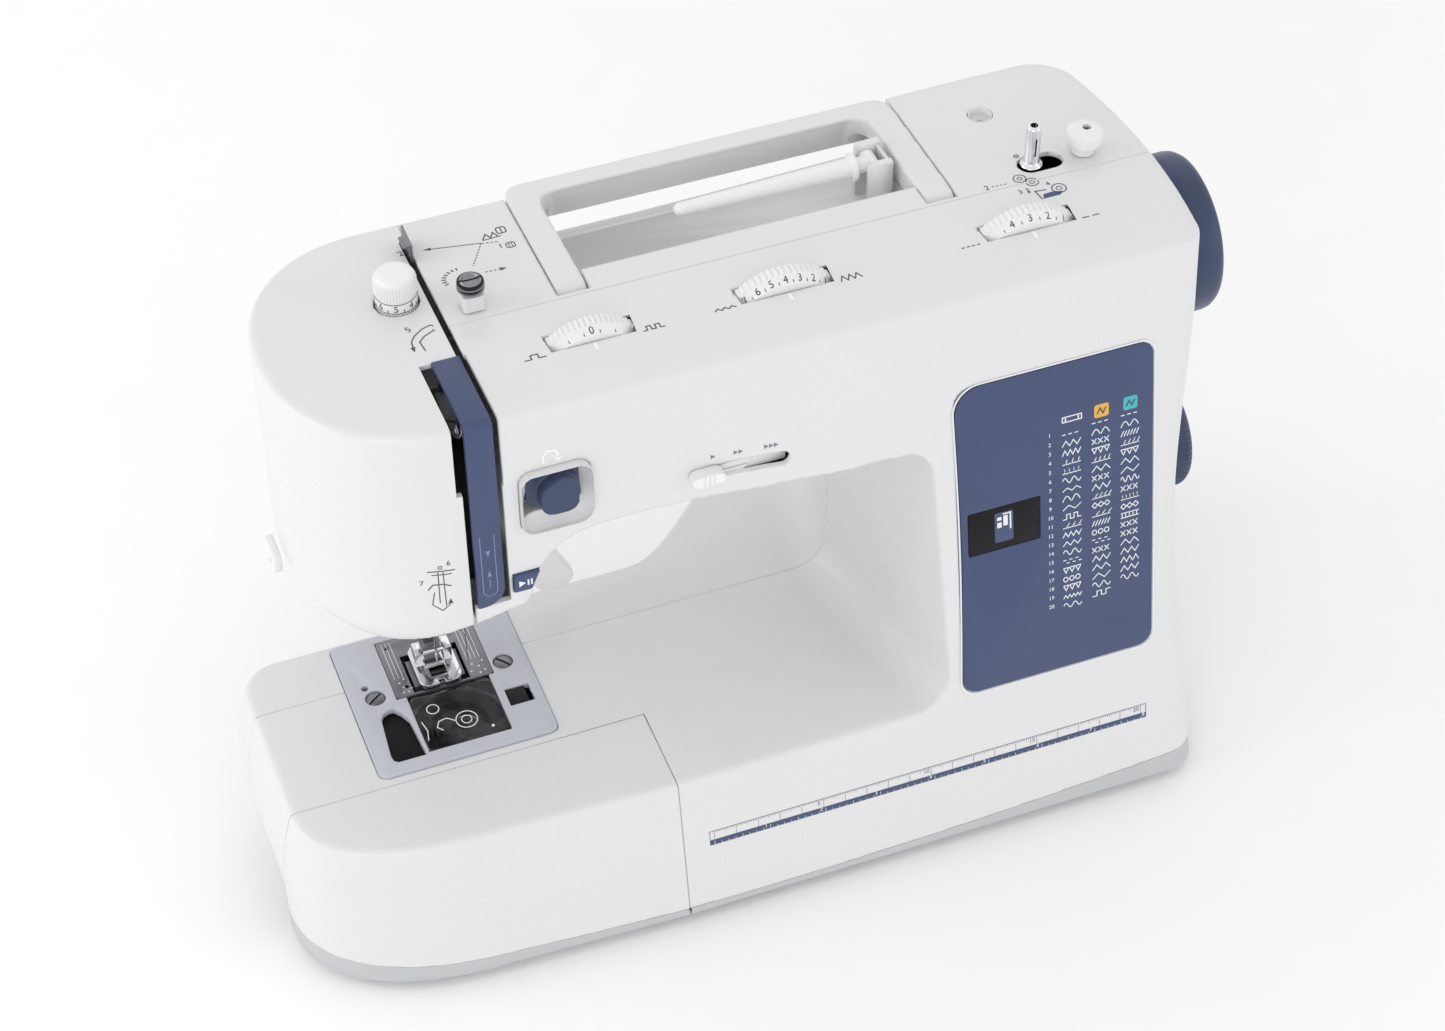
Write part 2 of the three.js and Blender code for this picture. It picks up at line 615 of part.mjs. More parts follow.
// ---- Front panel and controls -------------------------------------------------------------
function makePanel() {
  const { x0, x1, z0, z1, radius, depth } = PANEL;
  const outline = roundedRectangle(
    x0 + GAP,
    x1 - GAP,
    alongFace(z0) + GAP,
    alongFace(z1) - GAP,
    radius - GAP,
  );
  const hole = roundedRectangle(WINDOW.x0, WINDOW.x1, alongFace(WINDOW.z0), alongFace(WINDOW.z1), 1);
  add(
    "pattern_panel",
    cut(onColumnFace(outline, 0, depth - GAP), onColumnFace(hole, -2, 4)),
    BLUE,
  );
  const pane = roundedRectangle(
    WINDOW.x0 + GAP,
    WINDOW.x1 - GAP,
    alongFace(WINDOW.z0) + GAP,
    alongFace(WINDOW.z1) - GAP,
    1,
  );
  add("display_window", onColumnFace(pane, 0.2, depth - GAP), BLACK);
}

function makeDials() {
  for (const dial of DIALS) {
    const { radius } = dial;
    const width = DIAL_Y1 - DIAL_Y0;
    const outline = [];
    const teeth = 24;
    for (let i = 0; i < teeth * 2; i += 1) {
      const angle = (Math.PI * (i + 0.5)) / teeth;
      const r = radius - (i % 2 ? 0.7 : 0);
      outline.push([r * Math.cos(angle), r * Math.sin(angle)]);
    }
    const ribbed = prism("xz", outline, 2.4, width);
    const nose = turned("y", 0, 0, [[0, 0], [radius - 3, 0], [radius - 1, 2.45], [0, 2.45]], 30);
    add(dial.name, cut(joined(ribbed, nose), bar("y", 0, 0, 3, -1, width + 1, 12)), WHITE_SMOOTH, [
      dial.x,
      DIAL_Y0,
      dialZ(dial),
    ]);
  }
}

function makeFrontControls() {
  // Reverse lever: a paddle that reaches out of its pocket, on an arm that passes inside.
  const paddle = prism(
    "xz",
    [
      ...arc(5, -3, 7, -80, 0, 5),
      ...arc(4, 4, 8, 0, 90, 5),
      [-11, 12],
      [-13, 8],
      ...arc(-5, -2, 8, 180, 260, 4),
    ],
    0,
    9,
  );
  const arm = box(-9, -1, 8, 30, -3.5, 3.5);
  add("reverse_lever", joined(paddle, arm), NAVY, [-87.5, -51, 227]);
  const button = prism("xz", [[-106.9, 179], [-99.7, 179], [-96, 188.2], [-106.9, 188.2]], 0, 7);
  add("start_stop_button", button, BLUE, [0, -48.6, 0]);
  const knob = joined(
    prism("xz", roundedRectangle(-7, 7, -2.9, 2.9, 2.8), 0, 5.5),
    box(-2, 2, 4, 14, -1.2, 1.2),
  );
  add("speed_slider", knob, WHITE_SMOOTH, [SLIDER.knob, -53.5, SLIDER.z]);
  // Blue cover of the threading path: a strip that follows the top and the front of the head.
  const strip = cut(upperForm(-0.7, 100), upperForm(2, 90)).intersect(
    box(GUIDE.x0, GUIDE.x1, -140, -3.4, GUIDE.bottom + GAP, 300),
  );
  add("thread_guide_cover", strip, BLUE);
}

function makeTopFittings() {
  const seat = topZ(TENSION.y);
  add(
    "tension_dial",
    turned(
      "z",
      0,
      0,
      [[0, -14], [4, -14], [4, -4], [8.6, -4], [8.6, 9], [8.9, 9.4], [8.9, 14], [8.2, 15], [0, 15]],
      20,
    ),
    WHITE_SMOOTH,
    [TENSION.x, TENSION.y, seat],
  );
  const stud = turned(
    "z",
    0,
    0,
    [
      [0, -8],
      [2.2, -8],
      [2.2, 0.3],
      [5.4, 0.3],
      [4.6, 8],
      [2.2, 8.3],
      [2.2, 9],
      [5.6, 9.6],
      [5.6, 10.4],
      [2.4, 11],
      [2.4, 11.6],
      [4.4, 12],
      [4.4, 14],
      [0, 14.6],
    ],
    14,
  );
  add("pretension_guide", stud, CHROME, [-96.5, 25, topZ(25) + 0.2]);
  const guide = joined(
    box(-110.5, -109.5, 61, 74.5, 252, 273.5),
    box(-113.5, -109.5, 61, 68, 272.6, 273.5),
  );
  add("upper_thread_guide", guide, STEEL);
  const spindle = turned(
    "z",
    0,
    0,
    [[0, -8], [2.2, -8], [2.2, 0], [3.6, 0], [3.6, 1.6], [3.1, 2.2], [3.1, 19.4], [2.6, 20], [0, 20]],
    20,
  );
  add("winder_spindle", spindle, CHROME, [WINDER.x, WINDER.y, topZ(WINDER.y)]);
  const carriage = cut(
    box(WINDER.x - 9, WINDER.x + 8, 20, 34, 245, 256.6),
    bar("z", WINDER.x, WINDER.y, 2.6, 240, 260, 16),
  );
  add("winder_carriage", carriage, BLACK);
  const stop = turned(
    "z",
    0,
    0,
    [[0, -7], [2.6, -7], [2.6, 0], [4.6, 0.3], [4.2, 4.6], [7.2, 5.4], [7.7, 6.4], [7.7, 10], [7, 11], [0, 11]],
    18,
  );
  add("winder_stop", stop, WHITE_SMOOTH, [169.5, 27, topZ(27) + GAP]);
}

// ---- Carry handle and horizontal spool pin ------------------------------------------------
function makeHandle() {
  const { left, right, leg, radius, rear } = HANDLE;
  // The handle's top follows the slope of the machine's top.
  const top = (y) => radius - TOP_SLOPE * y;
  // Side view of a leg, from its round pivot end back to the grip that hangs below it.
  const side = [
    ...arc(0, 0, radius, 270, 90, 8),
    [rear - 2.4, top(rear)],
    [rear - 0.6, top(rear) - 0.8],
    [rear, top(rear) - 2.4],
    [rear, 3 - GRIP.drop],
    [rear - 2.4, -GRIP.drop],
    [GRIP.front + 6, -GRIP.drop],
    [GRIP.front + 3.2, 2.4 - GRIP.drop],
    [GRIP.front + 0.4, -radius],
  ];
  // Seen from above it is a U with rounded corners, open towards the front.
  const outside = prism("xy", roundedRectangle(left, right, -40, rear, 10, 5), -30, 40);
  const inside = prism("xy", roundedRectangle(left + leg, right - leg, -60, GRIP.front, 7, 4), -30, 40);
  // The grip's inner face is drawn in towards its lower edge.
  const scoop = prism(
    "yz",
    [
      [GRIP.front - 4, 2.6],
      [GRIP.front + 1.4, 0],
      [GRIP.front + 5.4, -GRIP.drop - 1],
      [GRIP.front - 4, -GRIP.drop - 1],
    ],
    left + leg + 7,
    right - leg - 7,
  );
  const legsAndGrip = cut(prism("yz", side, left, right).intersect(outside), inside, scoop);
  const pins = [
    bar("x", 0, 0, 2.5, left - 2.6, left + 2, 14),
    bar("x", 0, 0, 2.5, right - 2, right + 2.6, 14),
  ];
  add("carry_handle", joined(legsAndGrip, ...pins), WHITE, [0, HANDLE.y, HANDLE.z]);
  const pin = joined(
    bar("y", 0, 0, 3.4, -5.2, 5.2, 20),
    turned(
      "x",
      0,
      0,
      [
        [0, -87],
        [2, -86.4],
        [2.8, -84.6],
        [4.3, -14],
        [4.3, -9.4],
        [6.2, -9.2],
        [6.2, -7.2],
        [3.6, -7],
        [3.6, 0],
        [0, 0],
      ],
      22,
    ),
  );
  add("spool_pin", pin, WHITE_SMOOTH, [SPOOL_PIN.x, SPOOL_PIN.y, SPOOL_PIN.z]);
}

// ---- Handwheel and pattern selector -------------------------------------------------------
function makeWheels() {
  const rim = turned(
    "x",
    0,
    0,
    [
      [0, 0],
      [29, 0],
      [32.6, 1.2],
      [34.4, 4],
      [34.4, 13],
      [32.6, 16.4],
      [29, 17.4],
      [25, 15],
      [14, 14],
      [12, 16],
      [0, 16.4],
    ],
    36,
  );
  const hub = bar("x", 0, 0, 4.6, -12, 1, 20);
  add("handwheel", joined(rim, hub), NAVY, [HANDWHEEL_X, MAIN_SHAFT.y, MAIN_SHAFT.z]);
  const outline = [];
  const ribs = 24;
  for (let i = 0; i < ribs * 2; i += 1) {
    const angle = (Math.PI * i) / ribs;
    const r = i % 2 ? 25.2 : 26;
    outline.push([r * Math.cos(angle), r * Math.sin(angle)]);
  }
  const grip = prism("yz", outline, 0, 14);
  const cap = turned("x", 0, 0, [[0, 13.9], [25, 13.9], [23.6, 17], [18, 18], [0, 18.4]], 30);
  const stem = bar("x", 0, 0, 4, -13, 0.2, 16);
  add("pattern_selector", joined(grip, cap, stem), NAVY, [190.6, SELECTOR.y, SELECTOR.z]);
}

// ---- Needle, presser foot and thread parts ------------------------------------------------
function makeNeedleParts() {
  const { x, y } = NEEDLE;
  add("needle_bar", bar("z", 0, 0, 3, 124.3, 238, 16), STEEL, [x, y, 0]);
  const clamp = cut(
    joined(
      turned("z", 0, 0, [[0, 110], [4.2, 110], [4.6, 111], [4.6, 123], [4, 124], [0, 124]], 18),
      bar("x", 0, 116, 2, 2, 9, 12),
      bar("x", 0, 116, 3.4, 6.5, 10.5, 16),
    ),
    bar("z", 0, 0, 1.3, 100, 120, 12),
  );
  add("needle_clamp", clamp, CHROME, [x, y, 0]);
  const shank = [[0, 84], [0.35, 87], [0.5, 92], [0.5, 103], [1, 105], [1, 119.6], [0, 119.6]];
  const needle = turned("z", 0, 0, shank, 12);
  add("needle", needle, CHROME, [x, y, 0]);

  const rear = 24 - y;
  add("presser_bar", bar("z", 0, rear, 3, 113.3, 214, 20), STEEL, [x, y, 0]);
  const holder = cut(
    joined(
      box(-5, 5, rear - 5, rear + 4.4, 97, 113),
      box(-3.6, 3.6, rear - 6, rear + 2, 82.6, 97.2),
      bar("y", 0, 106, 3.6, rear + 4, rear + 9, 16),
    ),
    box(-6, 6, rear - 8, rear - 2.6, 90, 97),
    bar("x", 7.4, 84.6, 1.5, -10, 10, 14),
  );
  add("foot_holder", holder, STEEL, [x, y, 0]);
  const sole = [
    ...arc(5.2, -3.6, 4.2, -90, 0, 4),
    [9.4, 14],
    [7.5, 16.5],
    [-7.5, 16.5],
    [-9.4, 14],
    ...arc(-5.2, -3.6, 4.2, 180, 270, 4),
  ];
  const foot = cut(
    joined(
      prism("xy", sole, 77.4, 79.8),
      box(-8, -4.4, 4.5, 12, 79.6, 87),
      box(4.4, 8, 4.5, 12, 79.6, 87),
      bar("x", 7.4, 84.6, 1.2, -6, 6, 14),
    ),
    box(-3.6, 3.6, -3, 2.5, 70, 90),
    box(-1.4, 1.4, -20, -5.5, 70, 90),
  );
  add("presser_foot", foot, CHROME, [x, y, 0]);

  const tip = { x: 43, z: -90 };
  const lifterArm = prism(
    "xz",
    [
      ...arc(0, 0, 6, 20, 205, 8),
      [tip.x - 12, tip.z + 14],
      ...arc(tip.x - 6, tip.z + 5, 6, 200, 270, 3),
      ...arc(tip.x, tip.z + 5, 6, -90, 20, 4),
    ],
    LIFTER.y0,
    LIFTER.y1,
  );
  add("presser_lifter", joined(lifterArm, bar("y", 0, 0, 2.2, 27.5, 34, 14)), GREY, [
    LIFTER.x,
    0,
    LIFTER.z,
  ]);

  const takeUp = cut(
    joined(
      prism("yz", [[-4, -4], [4, -4], [3, 6], [-20, 22], [-23, 20], [-22, 16], [-4, 4]], 0, 1.8),
      bar("x", 0, 0, 4.6, 0, 1.8, 18),
    ),
    bar("x", -19.6, 18.4, 1.3, -1, 3, 12),
    bar("x", 0, 0, 1.6, -1, 3, 12),
  );
  add("take_up_lever", takeUp, CHROME, [-120.7, -8, 236]);
  const cutter = cut(
    joined(box(-3.6, 0, -7, 7, 0, 9), box(-3.6, 0, 3, 7, -3, 1)),
    box(-5, 2, -4, 2, -1, 4.5),
  );
  add("thread_cutter", cutter, WHITE_SMOOTH, [-186.2, 24, 157]);
  const bulb = turned("z", -140, 25, [[0, 175], [3, 176], [4.5, 178.6], [0, 178.6]], 16);
  add("lamp", joined(box(-146, -134, 18, 32, 178.5, 184), bulb), CLEAR);
}

// ---- Bed plates, feed and hook ------------------------------------------------------------
function makeBedParts() {
  const { x0, x1, y0, y1, z } = PLATE;
  const sp = STITCH_PLATE;
  const lid = BOBBIN_LID;
  const screws = { left: [-156, 8], right: [-98.5, 9] };
  const surround = cut(
    prism("xy", roundedRectangle(x0, x1, y0, y1, 3.7), z, BED_Z + 0.2),
    box(sp.x0 - GAP, sp.x1 + GAP, sp.y0 - GAP, sp.y1 + GAP, 60, 90),
    box(lid.x0 - GAP, lid.x1 + GAP, lid.y0 - GAP, sp.y0, 60, 90),
    box(
      LATCH.x - LATCH.half - GAP,
      LATCH.x + LATCH.half + LATCH.travel + GAP,
      LATCH.y - 5,
      LATCH.y + 5,
      60,
      90,
    ),
    prism("xy", FINGER_RECESS, 60, 90),
    bar("z", screws.left[0] - 2.8, screws.left[1] + 6.8, 1.6, 60, 90, 14),
    ...Object.values(screws).map(([x, y]) => bar("z", x, y, 4.5, 60, 90, 20)),
  );
  add("needle_plate_cover", surround, PLATE_GREY);
  const stitchPlate = cut(
    prism("xy", roundedRectangle(sp.x0, sp.x1, sp.y0, sp.y1, 1.5), z + 0.6, BED_Z + 0.2),
    box(-139.6, -132.6, 5, 27, 60, 90),
    box(-121.4, -114.4, 5, 27, 60, 90),
    prism("xy", roundedRectangle(-131, -123, 9.4, 12.6, 1.5), 60, 90),
  );
  add("stitch_plate", stitchPlate, STEEL);
  for (const [side, [x, y]] of Object.entries(screws)) {
    const screw = cut(
      turned("z", 0, 0, [[0, -6], [1.8, -6], [1.8, 0], [4.2, 0], [4.2, 1.6], [3.6, 2.4], [0, 2.6]], 20),
      box(-5, 5, -0.5, 0.5, 1.6, 4),
    );
    add(`plate_screw_${side}`, screw, STEEL, [x, y, z + 0.2]);
  }
  const cover = prism("xy", roundedRectangle(lid.x0, lid.x1, lid.y0, lid.y1, 2), z + 0.4, BED_Z + 0.1);
  add("bobbin_cover", cover, CLEAR);
  const latch = box(-LATCH.half, LATCH.half, -4.7, 4.7, -2.6, 2.6);
  add("bobbin_cover_latch", latch, BLACK, [LATCH.x, LATCH.y, z]);

  const teeth = (x) => {
    const profile = [[8.4, 70.5], [23.4, 70.5], [23.4, 75.6]];
    for (let i = 0; i < 6; i += 1) {
      const back = 23.4 - i * 2.5;
      profile.push([back - 0.4, 76.5], [back - 2.3, 75.6]);
    }
    profile.push([8.4, 75.6]);
    return prism("yz", profile, x, x + 4.4);
  };
  const feed = joined(
    teeth(-138.3),
    teeth(-120.1),
    box(-138.3, -115.7, 15, 22.9, 69.4, 72.4),
    box(-131, -123, 18, 22.9, 56, 69.6),
  );
  add("feed_dog", feed, STEEL);

  const hook = turned(
    "z",
    0,
    0,
    [[0, 36.5], [3, 36.5], [3, 50], [19, 50], [21.2, 52], [21.2, 67.6], [18.8, 67.6], [18.8, 53], [0, 53]],
    28,
  );
  add("hook_race", hook, STEEL, [HOOK.x, HOOK.y, 0]);
  const bobbinCase = cut(
    turned(
      "z",
      0,
      0,
      [[0, 53.6], [18, 53.6], [18.2, 68.6], [16.5, 69.4], [12, 69.4], [12, 55.4], [0, 55.4]],
      20,
    ),
    bar("z", 0, 0, 1.5, 50, 60, 10),
  );
  add("bobbin_case", bobbinCase, BLACK, [HOOK.x, HOOK.y, 0]);
  const bobbin = turned(
    "z",
    0,
    0,
    [
      [3.2, 56],
      [10.6, 56],
      [10.6, 57],
      [4.6, 57.2],
      [4.6, 66],
      [10.6, 66.2],
      [10.6, 67.2],
      [3.2, 67.2],
      [3.2, 56],
    ],
    18,
  );
  add("bobbin", bobbin, CLEAR, [HOOK.x, HOOK.y, 0]);
}

// ---- Drive and frame inside the covers ----------------------------------------------------
const UPPER_PULLEY = { x0: 162, x1: 171, radius: 20 };
const TIMING_PULLEY = { x0: 148.4, x1: 156, radius: 9.4 };
const MOTOR = { x0: 92, x1: 143, y: -25, z: 62, radius: 23, pulley: 6 };

// An endless flat belt round two pulleys whose axes run along X.
function beltAround(a, b, radiusA, radiusB, thickness, x0, x1) {
  const outline = (extra) => {
    const along = Math.atan2(b[1] - a[1], b[0] - a[0]);
    const far = Math.hypot(b[0] - a[0], b[1] - a[1]);
    const wrap = Math.acos((radiusA - radiusB) / far);
    const deg = THREE.MathUtils.radToDeg;
    return [
      ...arc(a[0], a[1], radiusA + extra, deg(along + wrap), deg(along - wrap) + 360, 14),
      ...arc(b[0], b[1], radiusB + extra, deg(along - wrap), deg(along + wrap), 8),
    ];
  };
  return cut(prism("yz", outline(thickness), x0, x1), prism("yz", outline(0), x0 - 1, x1 + 1));
}

function makeDrive() {
  const upper = joined(
    bar("x", 0, 0, 4, -113, 184, 16),
    turned("x", 0, 0, [[0, -118.4], [13, -118.4], [13, -113.4], [5, -110], [0, -110]], 28),
    bar("x", 0, 0, TIMING_PULLEY.radius, TIMING_PULLEY.x0, TIMING_PULLEY.x1, 28),
    bar("x", 0, 0, UPPER_PULLEY.radius, UPPER_PULLEY.x0, UPPER_PULLEY.x1, 36),
  );
  add("upper_shaft", upper, STEEL, [0, MAIN_SHAFT.y, MAIN_SHAFT.z]);
  const lower = joined(
    bar("x", 0, 0, 4, -98, 158, 20),
    turned("x", 0, 0, [[0, -100], [6, -100], [9, -95], [9, -92], [0, -92]], 24),
    bar("x", 0, 0, TIMING_PULLEY.radius, TIMING_PULLEY.x0, TIMING_PULLEY.x1, 28),
  );
  add("lower_shaft", lower, STEEL, [0, LOWER_SHAFT.y, LOWER_SHAFT.z]);
  const timing = beltAround(
    [LOWER_SHAFT.y, LOWER_SHAFT.z],
    [MAIN_SHAFT.y, MAIN_SHAFT.z],
    TIMING_PULLEY.radius + GAP,
    TIMING_PULLEY.radius + GAP,
    1.4,
    TIMING_PULLEY.x0 + 1,
    TIMING_PULLEY.x1 - 1,
  );
  add("timing_belt", timing, RUBBER);
  const drive = beltAround(
    [MAIN_SHAFT.y, MAIN_SHAFT.z],
    [MOTOR.y, MOTOR.z],
    UPPER_PULLEY.radius + GAP,
    MOTOR.pulley + GAP,
    1.6,
    UPPER_PULLEY.x0 + 1,
    UPPER_PULLEY.x1 - 1,
  );
  add("drive_belt", drive, RUBBER);
  const motor = cut(
    turned(
      "x",
      0,
      0,
      [[0, MOTOR.x0], [18, MOTOR.x0], [23, MOTOR.x0 + 5], [23, MOTOR.x1 - 5], [14, MOTOR.x1], [0, MOTOR.x1]],
      20,
    ),
    bar("x", 0, 0, 2.6, MOTOR.x1 - 12, MOTOR.x1 + 2, 12),
  );
  add("motor", motor, STEEL, [0, MOTOR.y, MOTOR.z]);
  const pulley = joined(
    bar("x", 0, 0, 2.2, MOTOR.x1 - 10, UPPER_PULLEY.x0 + 1, 16),
    bar("x", 0, 0, MOTOR.pulley, UPPER_PULLEY.x0, UPPER_PULLEY.x1, 24),
  );
  add("motor_pulley", pulley, STEEL, [0, MOTOR.y, MOTOR.z]);
}

function makeFrame() {
  const plate = prism(
    "xz",
    [
      [-150, 184],
      [-112, 184],
      [-98, 212],
      [100, 214],
      [108, 204],
      [108, 74],
      [100, 60],
      [-160, 60],
      [-160, 40],
      [84, 40],
      [84, 8.4],
      [146, 8.4],
      [146, 240],
      [112, 240],
      [108, 236.6],
      [-70, 236.6],
      [-74, 240],
      [-150, 240],
    ],
    31,
    38,
  );
  const arm = (x0, x1, y0, z0, z1) => box(x0, x1, y0, 31.5, z0, z1);
  const bearings = joined(
    arm(-100, -92, -1, 217, 239),
    arm(138, 146, -1, 217, 239),
    arm(-134, -121, 4, 214, 222),
    arm(-134, -121, 4, 186, 193),
    arm(-60, -52, -6, 41, 55),
    arm(66, 74, -6, 41, 55),
    box(LIFTER.x - 5.5, LIFTER.x + 2.8, 26.5, 32.9, 173.2, 190),
  );
  const made = cut(
    joined(plate, bearings),
    bar("x", MAIN_SHAFT.y, MAIN_SHAFT.z, 4.3, -120, 150, 20),
    bar("x", LOWER_SHAFT.y, LOWER_SHAFT.z, 4.3, -120, 150, 20),
    bar("z", NEEDLE.x, NEEDLE.y, 3.3, 180, 230, 18),
    bar("z", NEEDLE.x, 24, 3.3, 180, 230, 18),
    bar("y", LIFTER.x, LIFTER.z, 2.5, 20, 40, 14),
  );
  add("machine_frame", made, CAST);
  add("circuit_board", box(96, 160, -44, -42.4, 100, 196), BOARD);
  // The inlet and the switch sit in the right end, low down at the back.
  const wall = 186;
  const inlet = cut(
    box(wall - 20, wall + 5.6, INLET.y0 + GAP, INLET.y1 - GAP, INLET.z0 + GAP, INLET.z1 - GAP),
    box(wall - 10, wall + 10, INLET.y0 + 3, INLET.y1 - 3, INLET.z0 + 3.4, INLET.z1 - 3.4),
    box(wall - 21, wall - 9, INLET.y0 + 9, INLET.y1 - 9, INLET.z0 + 8, INLET.z1 - 8),
  );
  add("power_inlet", inlet, BLACK);
  const rocker = prism("xz", [[-12, -6.4], [3.6, -6.4], [2.4, 0], [5.4, 6.4], [-12, 6.4]], -9.4, 9.4);
  add("power_switch", rocker, BLACK, [wall, (SWITCH.y0 + SWITCH.y1) / 2, (SWITCH.z0 + SWITCH.z1) / 2]);
}

makeCovers();
makeAccessoryBox();
makePanel();
makeDials();
makeFrontControls();
makeTopFittings();
makeHandle();
makeWheels();
makeNeedleParts();
makeBedParts();
makeDrive();
makeFrame();

export default group;
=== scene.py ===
"""Looks of the sewing machine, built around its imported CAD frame. Lengths are in millimetres."""

import json
import math

import bmesh
import bpy
import numpy as np
from mathutils import Matrix, Vector
from mathutils.bvhtree import BVHTree


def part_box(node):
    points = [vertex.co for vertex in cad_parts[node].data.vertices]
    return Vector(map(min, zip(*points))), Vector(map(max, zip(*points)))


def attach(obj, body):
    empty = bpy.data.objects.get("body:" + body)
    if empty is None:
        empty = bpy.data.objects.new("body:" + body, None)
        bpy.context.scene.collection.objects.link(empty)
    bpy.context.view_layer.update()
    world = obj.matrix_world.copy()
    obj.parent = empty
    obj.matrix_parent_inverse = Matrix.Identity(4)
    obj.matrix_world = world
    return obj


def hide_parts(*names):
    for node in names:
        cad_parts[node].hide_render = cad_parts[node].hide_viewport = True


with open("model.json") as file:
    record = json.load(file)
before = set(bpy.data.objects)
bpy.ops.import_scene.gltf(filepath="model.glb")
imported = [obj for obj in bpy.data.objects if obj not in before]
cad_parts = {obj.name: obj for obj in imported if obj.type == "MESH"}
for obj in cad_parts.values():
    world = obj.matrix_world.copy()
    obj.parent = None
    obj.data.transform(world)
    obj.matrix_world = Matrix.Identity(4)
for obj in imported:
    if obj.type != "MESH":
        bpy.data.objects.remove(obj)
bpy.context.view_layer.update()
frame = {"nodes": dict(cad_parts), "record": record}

MM = 0.001  # scene units per millimetre

# ---- Driving dimensions of the casing -------------------------------------------------------
SKIN = 0.4  # the smooth skin lies this far inside the faceted one
OVERSIZE = 3  # past a flat CAD face that bounds a seam, the skin goes on this far
EDGE = 2  # rounding of the top edges of the bed, the free arm and the accessory box
TOP_Z = 272
TOP_SLOPE = 0.065
TOP_EDGE_Y = -45
TOP_RADIUS = 3.5
COLUMN_LEAN = 0.195
HEAD_LEAN = 0.03
LEAN_FROM, LEAN_TO = -60, 60
SEAM_Y = 16
HEAD_CENTRE_X = -125
HEAD_LENGTH = 60.5
RIGHT_X = 197
RIGHT_BOW = 8
RIGHT_WAIST = 9.5
BACK_Y_LEFT = 90
BACK_Y_RIGHT = 96.9
BED_Z = 76
ARM_BOTTOM_Z = 31
ARM_LEFT_X = -207.4
ARM_FLARE = 6.6
ARM_FRONT_Y = -40.5
ARM_BACK_Y = 45
BED_LEFT_X = -51.5
THROAT_X = 54
THROAT_DRAFT = 0.19
THROAT_TOP_Z = 206
THROAT_RADIUS = 17
THROAT_TOP_RADIUS = 13
HEAD_FOOT_Z = 170  # below this the head's outline turns in
HEAD_FOOT_RADIUS = 16
HEAD_POWER, BOX_POWER = 2.2, 2.4  # 2 gives an elliptical end, more a squarer one
ARCH_X, ARCH_RADIUS, ARCH_DROP = -70, 28, 32  # underside of the arm where it meets the head
BEYOND_X, BEYOND_Y, BELOW_Z = -270, 140, -40  # outside the casing
BOX_CORNER_X, BOX_CORNER_Y = -126, -41  # centre of the accessory box's rounded corner
BOX_DEPTH, BOX_FLARE, BOX_HEIGHT = 39.6, 14, 71
SPOOL_HOLE = (141, 67.3)  # hole for an upright spool pin
CHANNEL_FLOOR_Y = -47.2  # floor of the speed slider's channel


# ---- Mesh helpers ---------------------------------------------------------------------------
def link(name, mesh):
    obj = bpy.data.objects.new(name, mesh)
    bpy.context.scene.collection.objects.link(obj)
    return obj


def made_of(name, points, faces):
    """An object from points in millimetres."""
    mesh = bpy.data.meshes.new(name)
    mesh.from_pydata([tuple(c * MM for c in p) for p in points], [], faces)
    return link(name, mesh)


def outward(obj):
    """Turns every face of a closed mesh to point out."""
    work = bmesh.new()
    work.from_mesh(obj.data)
    bmesh.ops.recalc_face_normals(work, faces=work.faces)
    work.to_mesh(obj.data)
    work.free()
    return obj


def modified(obj, kind, **settings):
    """Adds one modifier and applies it."""
    modifier = obj.modifiers.new(kind, kind)
    for key, value in settings.items():
        setattr(modifier, key, value)
    graph = bpy.context.evaluated_depsgraph_get()
    mesh = bpy.data.meshes.new_from_object(obj.evaluated_get(graph))
    obj.modifiers.clear()
    obj.data = mesh
    return obj


def combined(operation, body, *tools, keep=False):
    for tool in tools:
        modified(body, "BOOLEAN", object=tool, operation=operation, solver="MANIFOLD")
        if not keep:
            bpy.data.objects.remove(tool)
    return body


def joined(body, *tools):
    return combined("UNION", body, *tools)


def cut(body, *tools):
    return combined("DIFFERENCE", body, *tools)


def common(body, tool, keep=False):
    return combined("INTERSECT", body, tool, keep=keep)


def arc(u, v, radius, start, end, steps=12):
    """Points of a circle's arc between two angles in degrees."""
    angles = np.radians(np.linspace(start, end, steps + 1))
    return [(u + radius * math.cos(a), v + radius * math.sin(a)) for a in angles]


def rounded_rectangle(u0, u1, v0, v1, radius, steps=8):
    return [
        *arc(u1 - radius, v0 + radius, radius, -90, 0, steps),
        *arc(u1 - radius, v1 - radius, radius, 0, 90, steps),
        *arc(u0 + radius, v1 - radius, radius, 90, 180, steps),
        *arc(u0 + radius, v0 + radius, radius, 180, 270, steps),
    ]


def loft(name, rings):
    """A closed solid through rings that all have the same number of points."""
    count = len(rings[0])
    faces = []
    for level in range(len(rings) - 1):
        for i in range(count):
            a = level * count + i
            b = level * count + (i + 1) % count
            faces.append((a, b, b + count, a + count))
    last = (len(rings) - 1) * count
    faces.append(tuple(range(count))[::-1])
    faces.append(tuple(range(last, last + count)))
    return outward(made_of(name, [p for ring in rings for p in ring], faces))


PLANES = {
    "xy": lambda u, v, w: (u, v, w),
    "xz": lambda u, v, w: (u, w, v),
    "yz": lambda u, v, w: (w, u, v),
}


def prism(name, plane, outline, start, end):
    """An outline in the XY, XZ or YZ plane pushed along the third axis."""
    turn = PLANES[plane]
    return loft(name, [[turn(u, v, w) for u, v in outline] for w in (start, end)])


def box(name, x0, x1, y0, y1, z0, z1):
    return prism(name, "xy", [(x0, y0), (x1, y0), (x1, y1), (x0, y1)], z0, z1)


def around(axis, centre, radius, angle, along):
    """A point at a radius and an angle about an axis.
    centre holds the two coordinates across the axis, in the order of X, Y, Z."""
    u = centre[0] + radius * math.cos(angle)
    v = centre[1] + radius * math.sin(angle)
    return {"x": (along, u, v), "y": (u, along, v), "z": (u, v, along)}[axis]


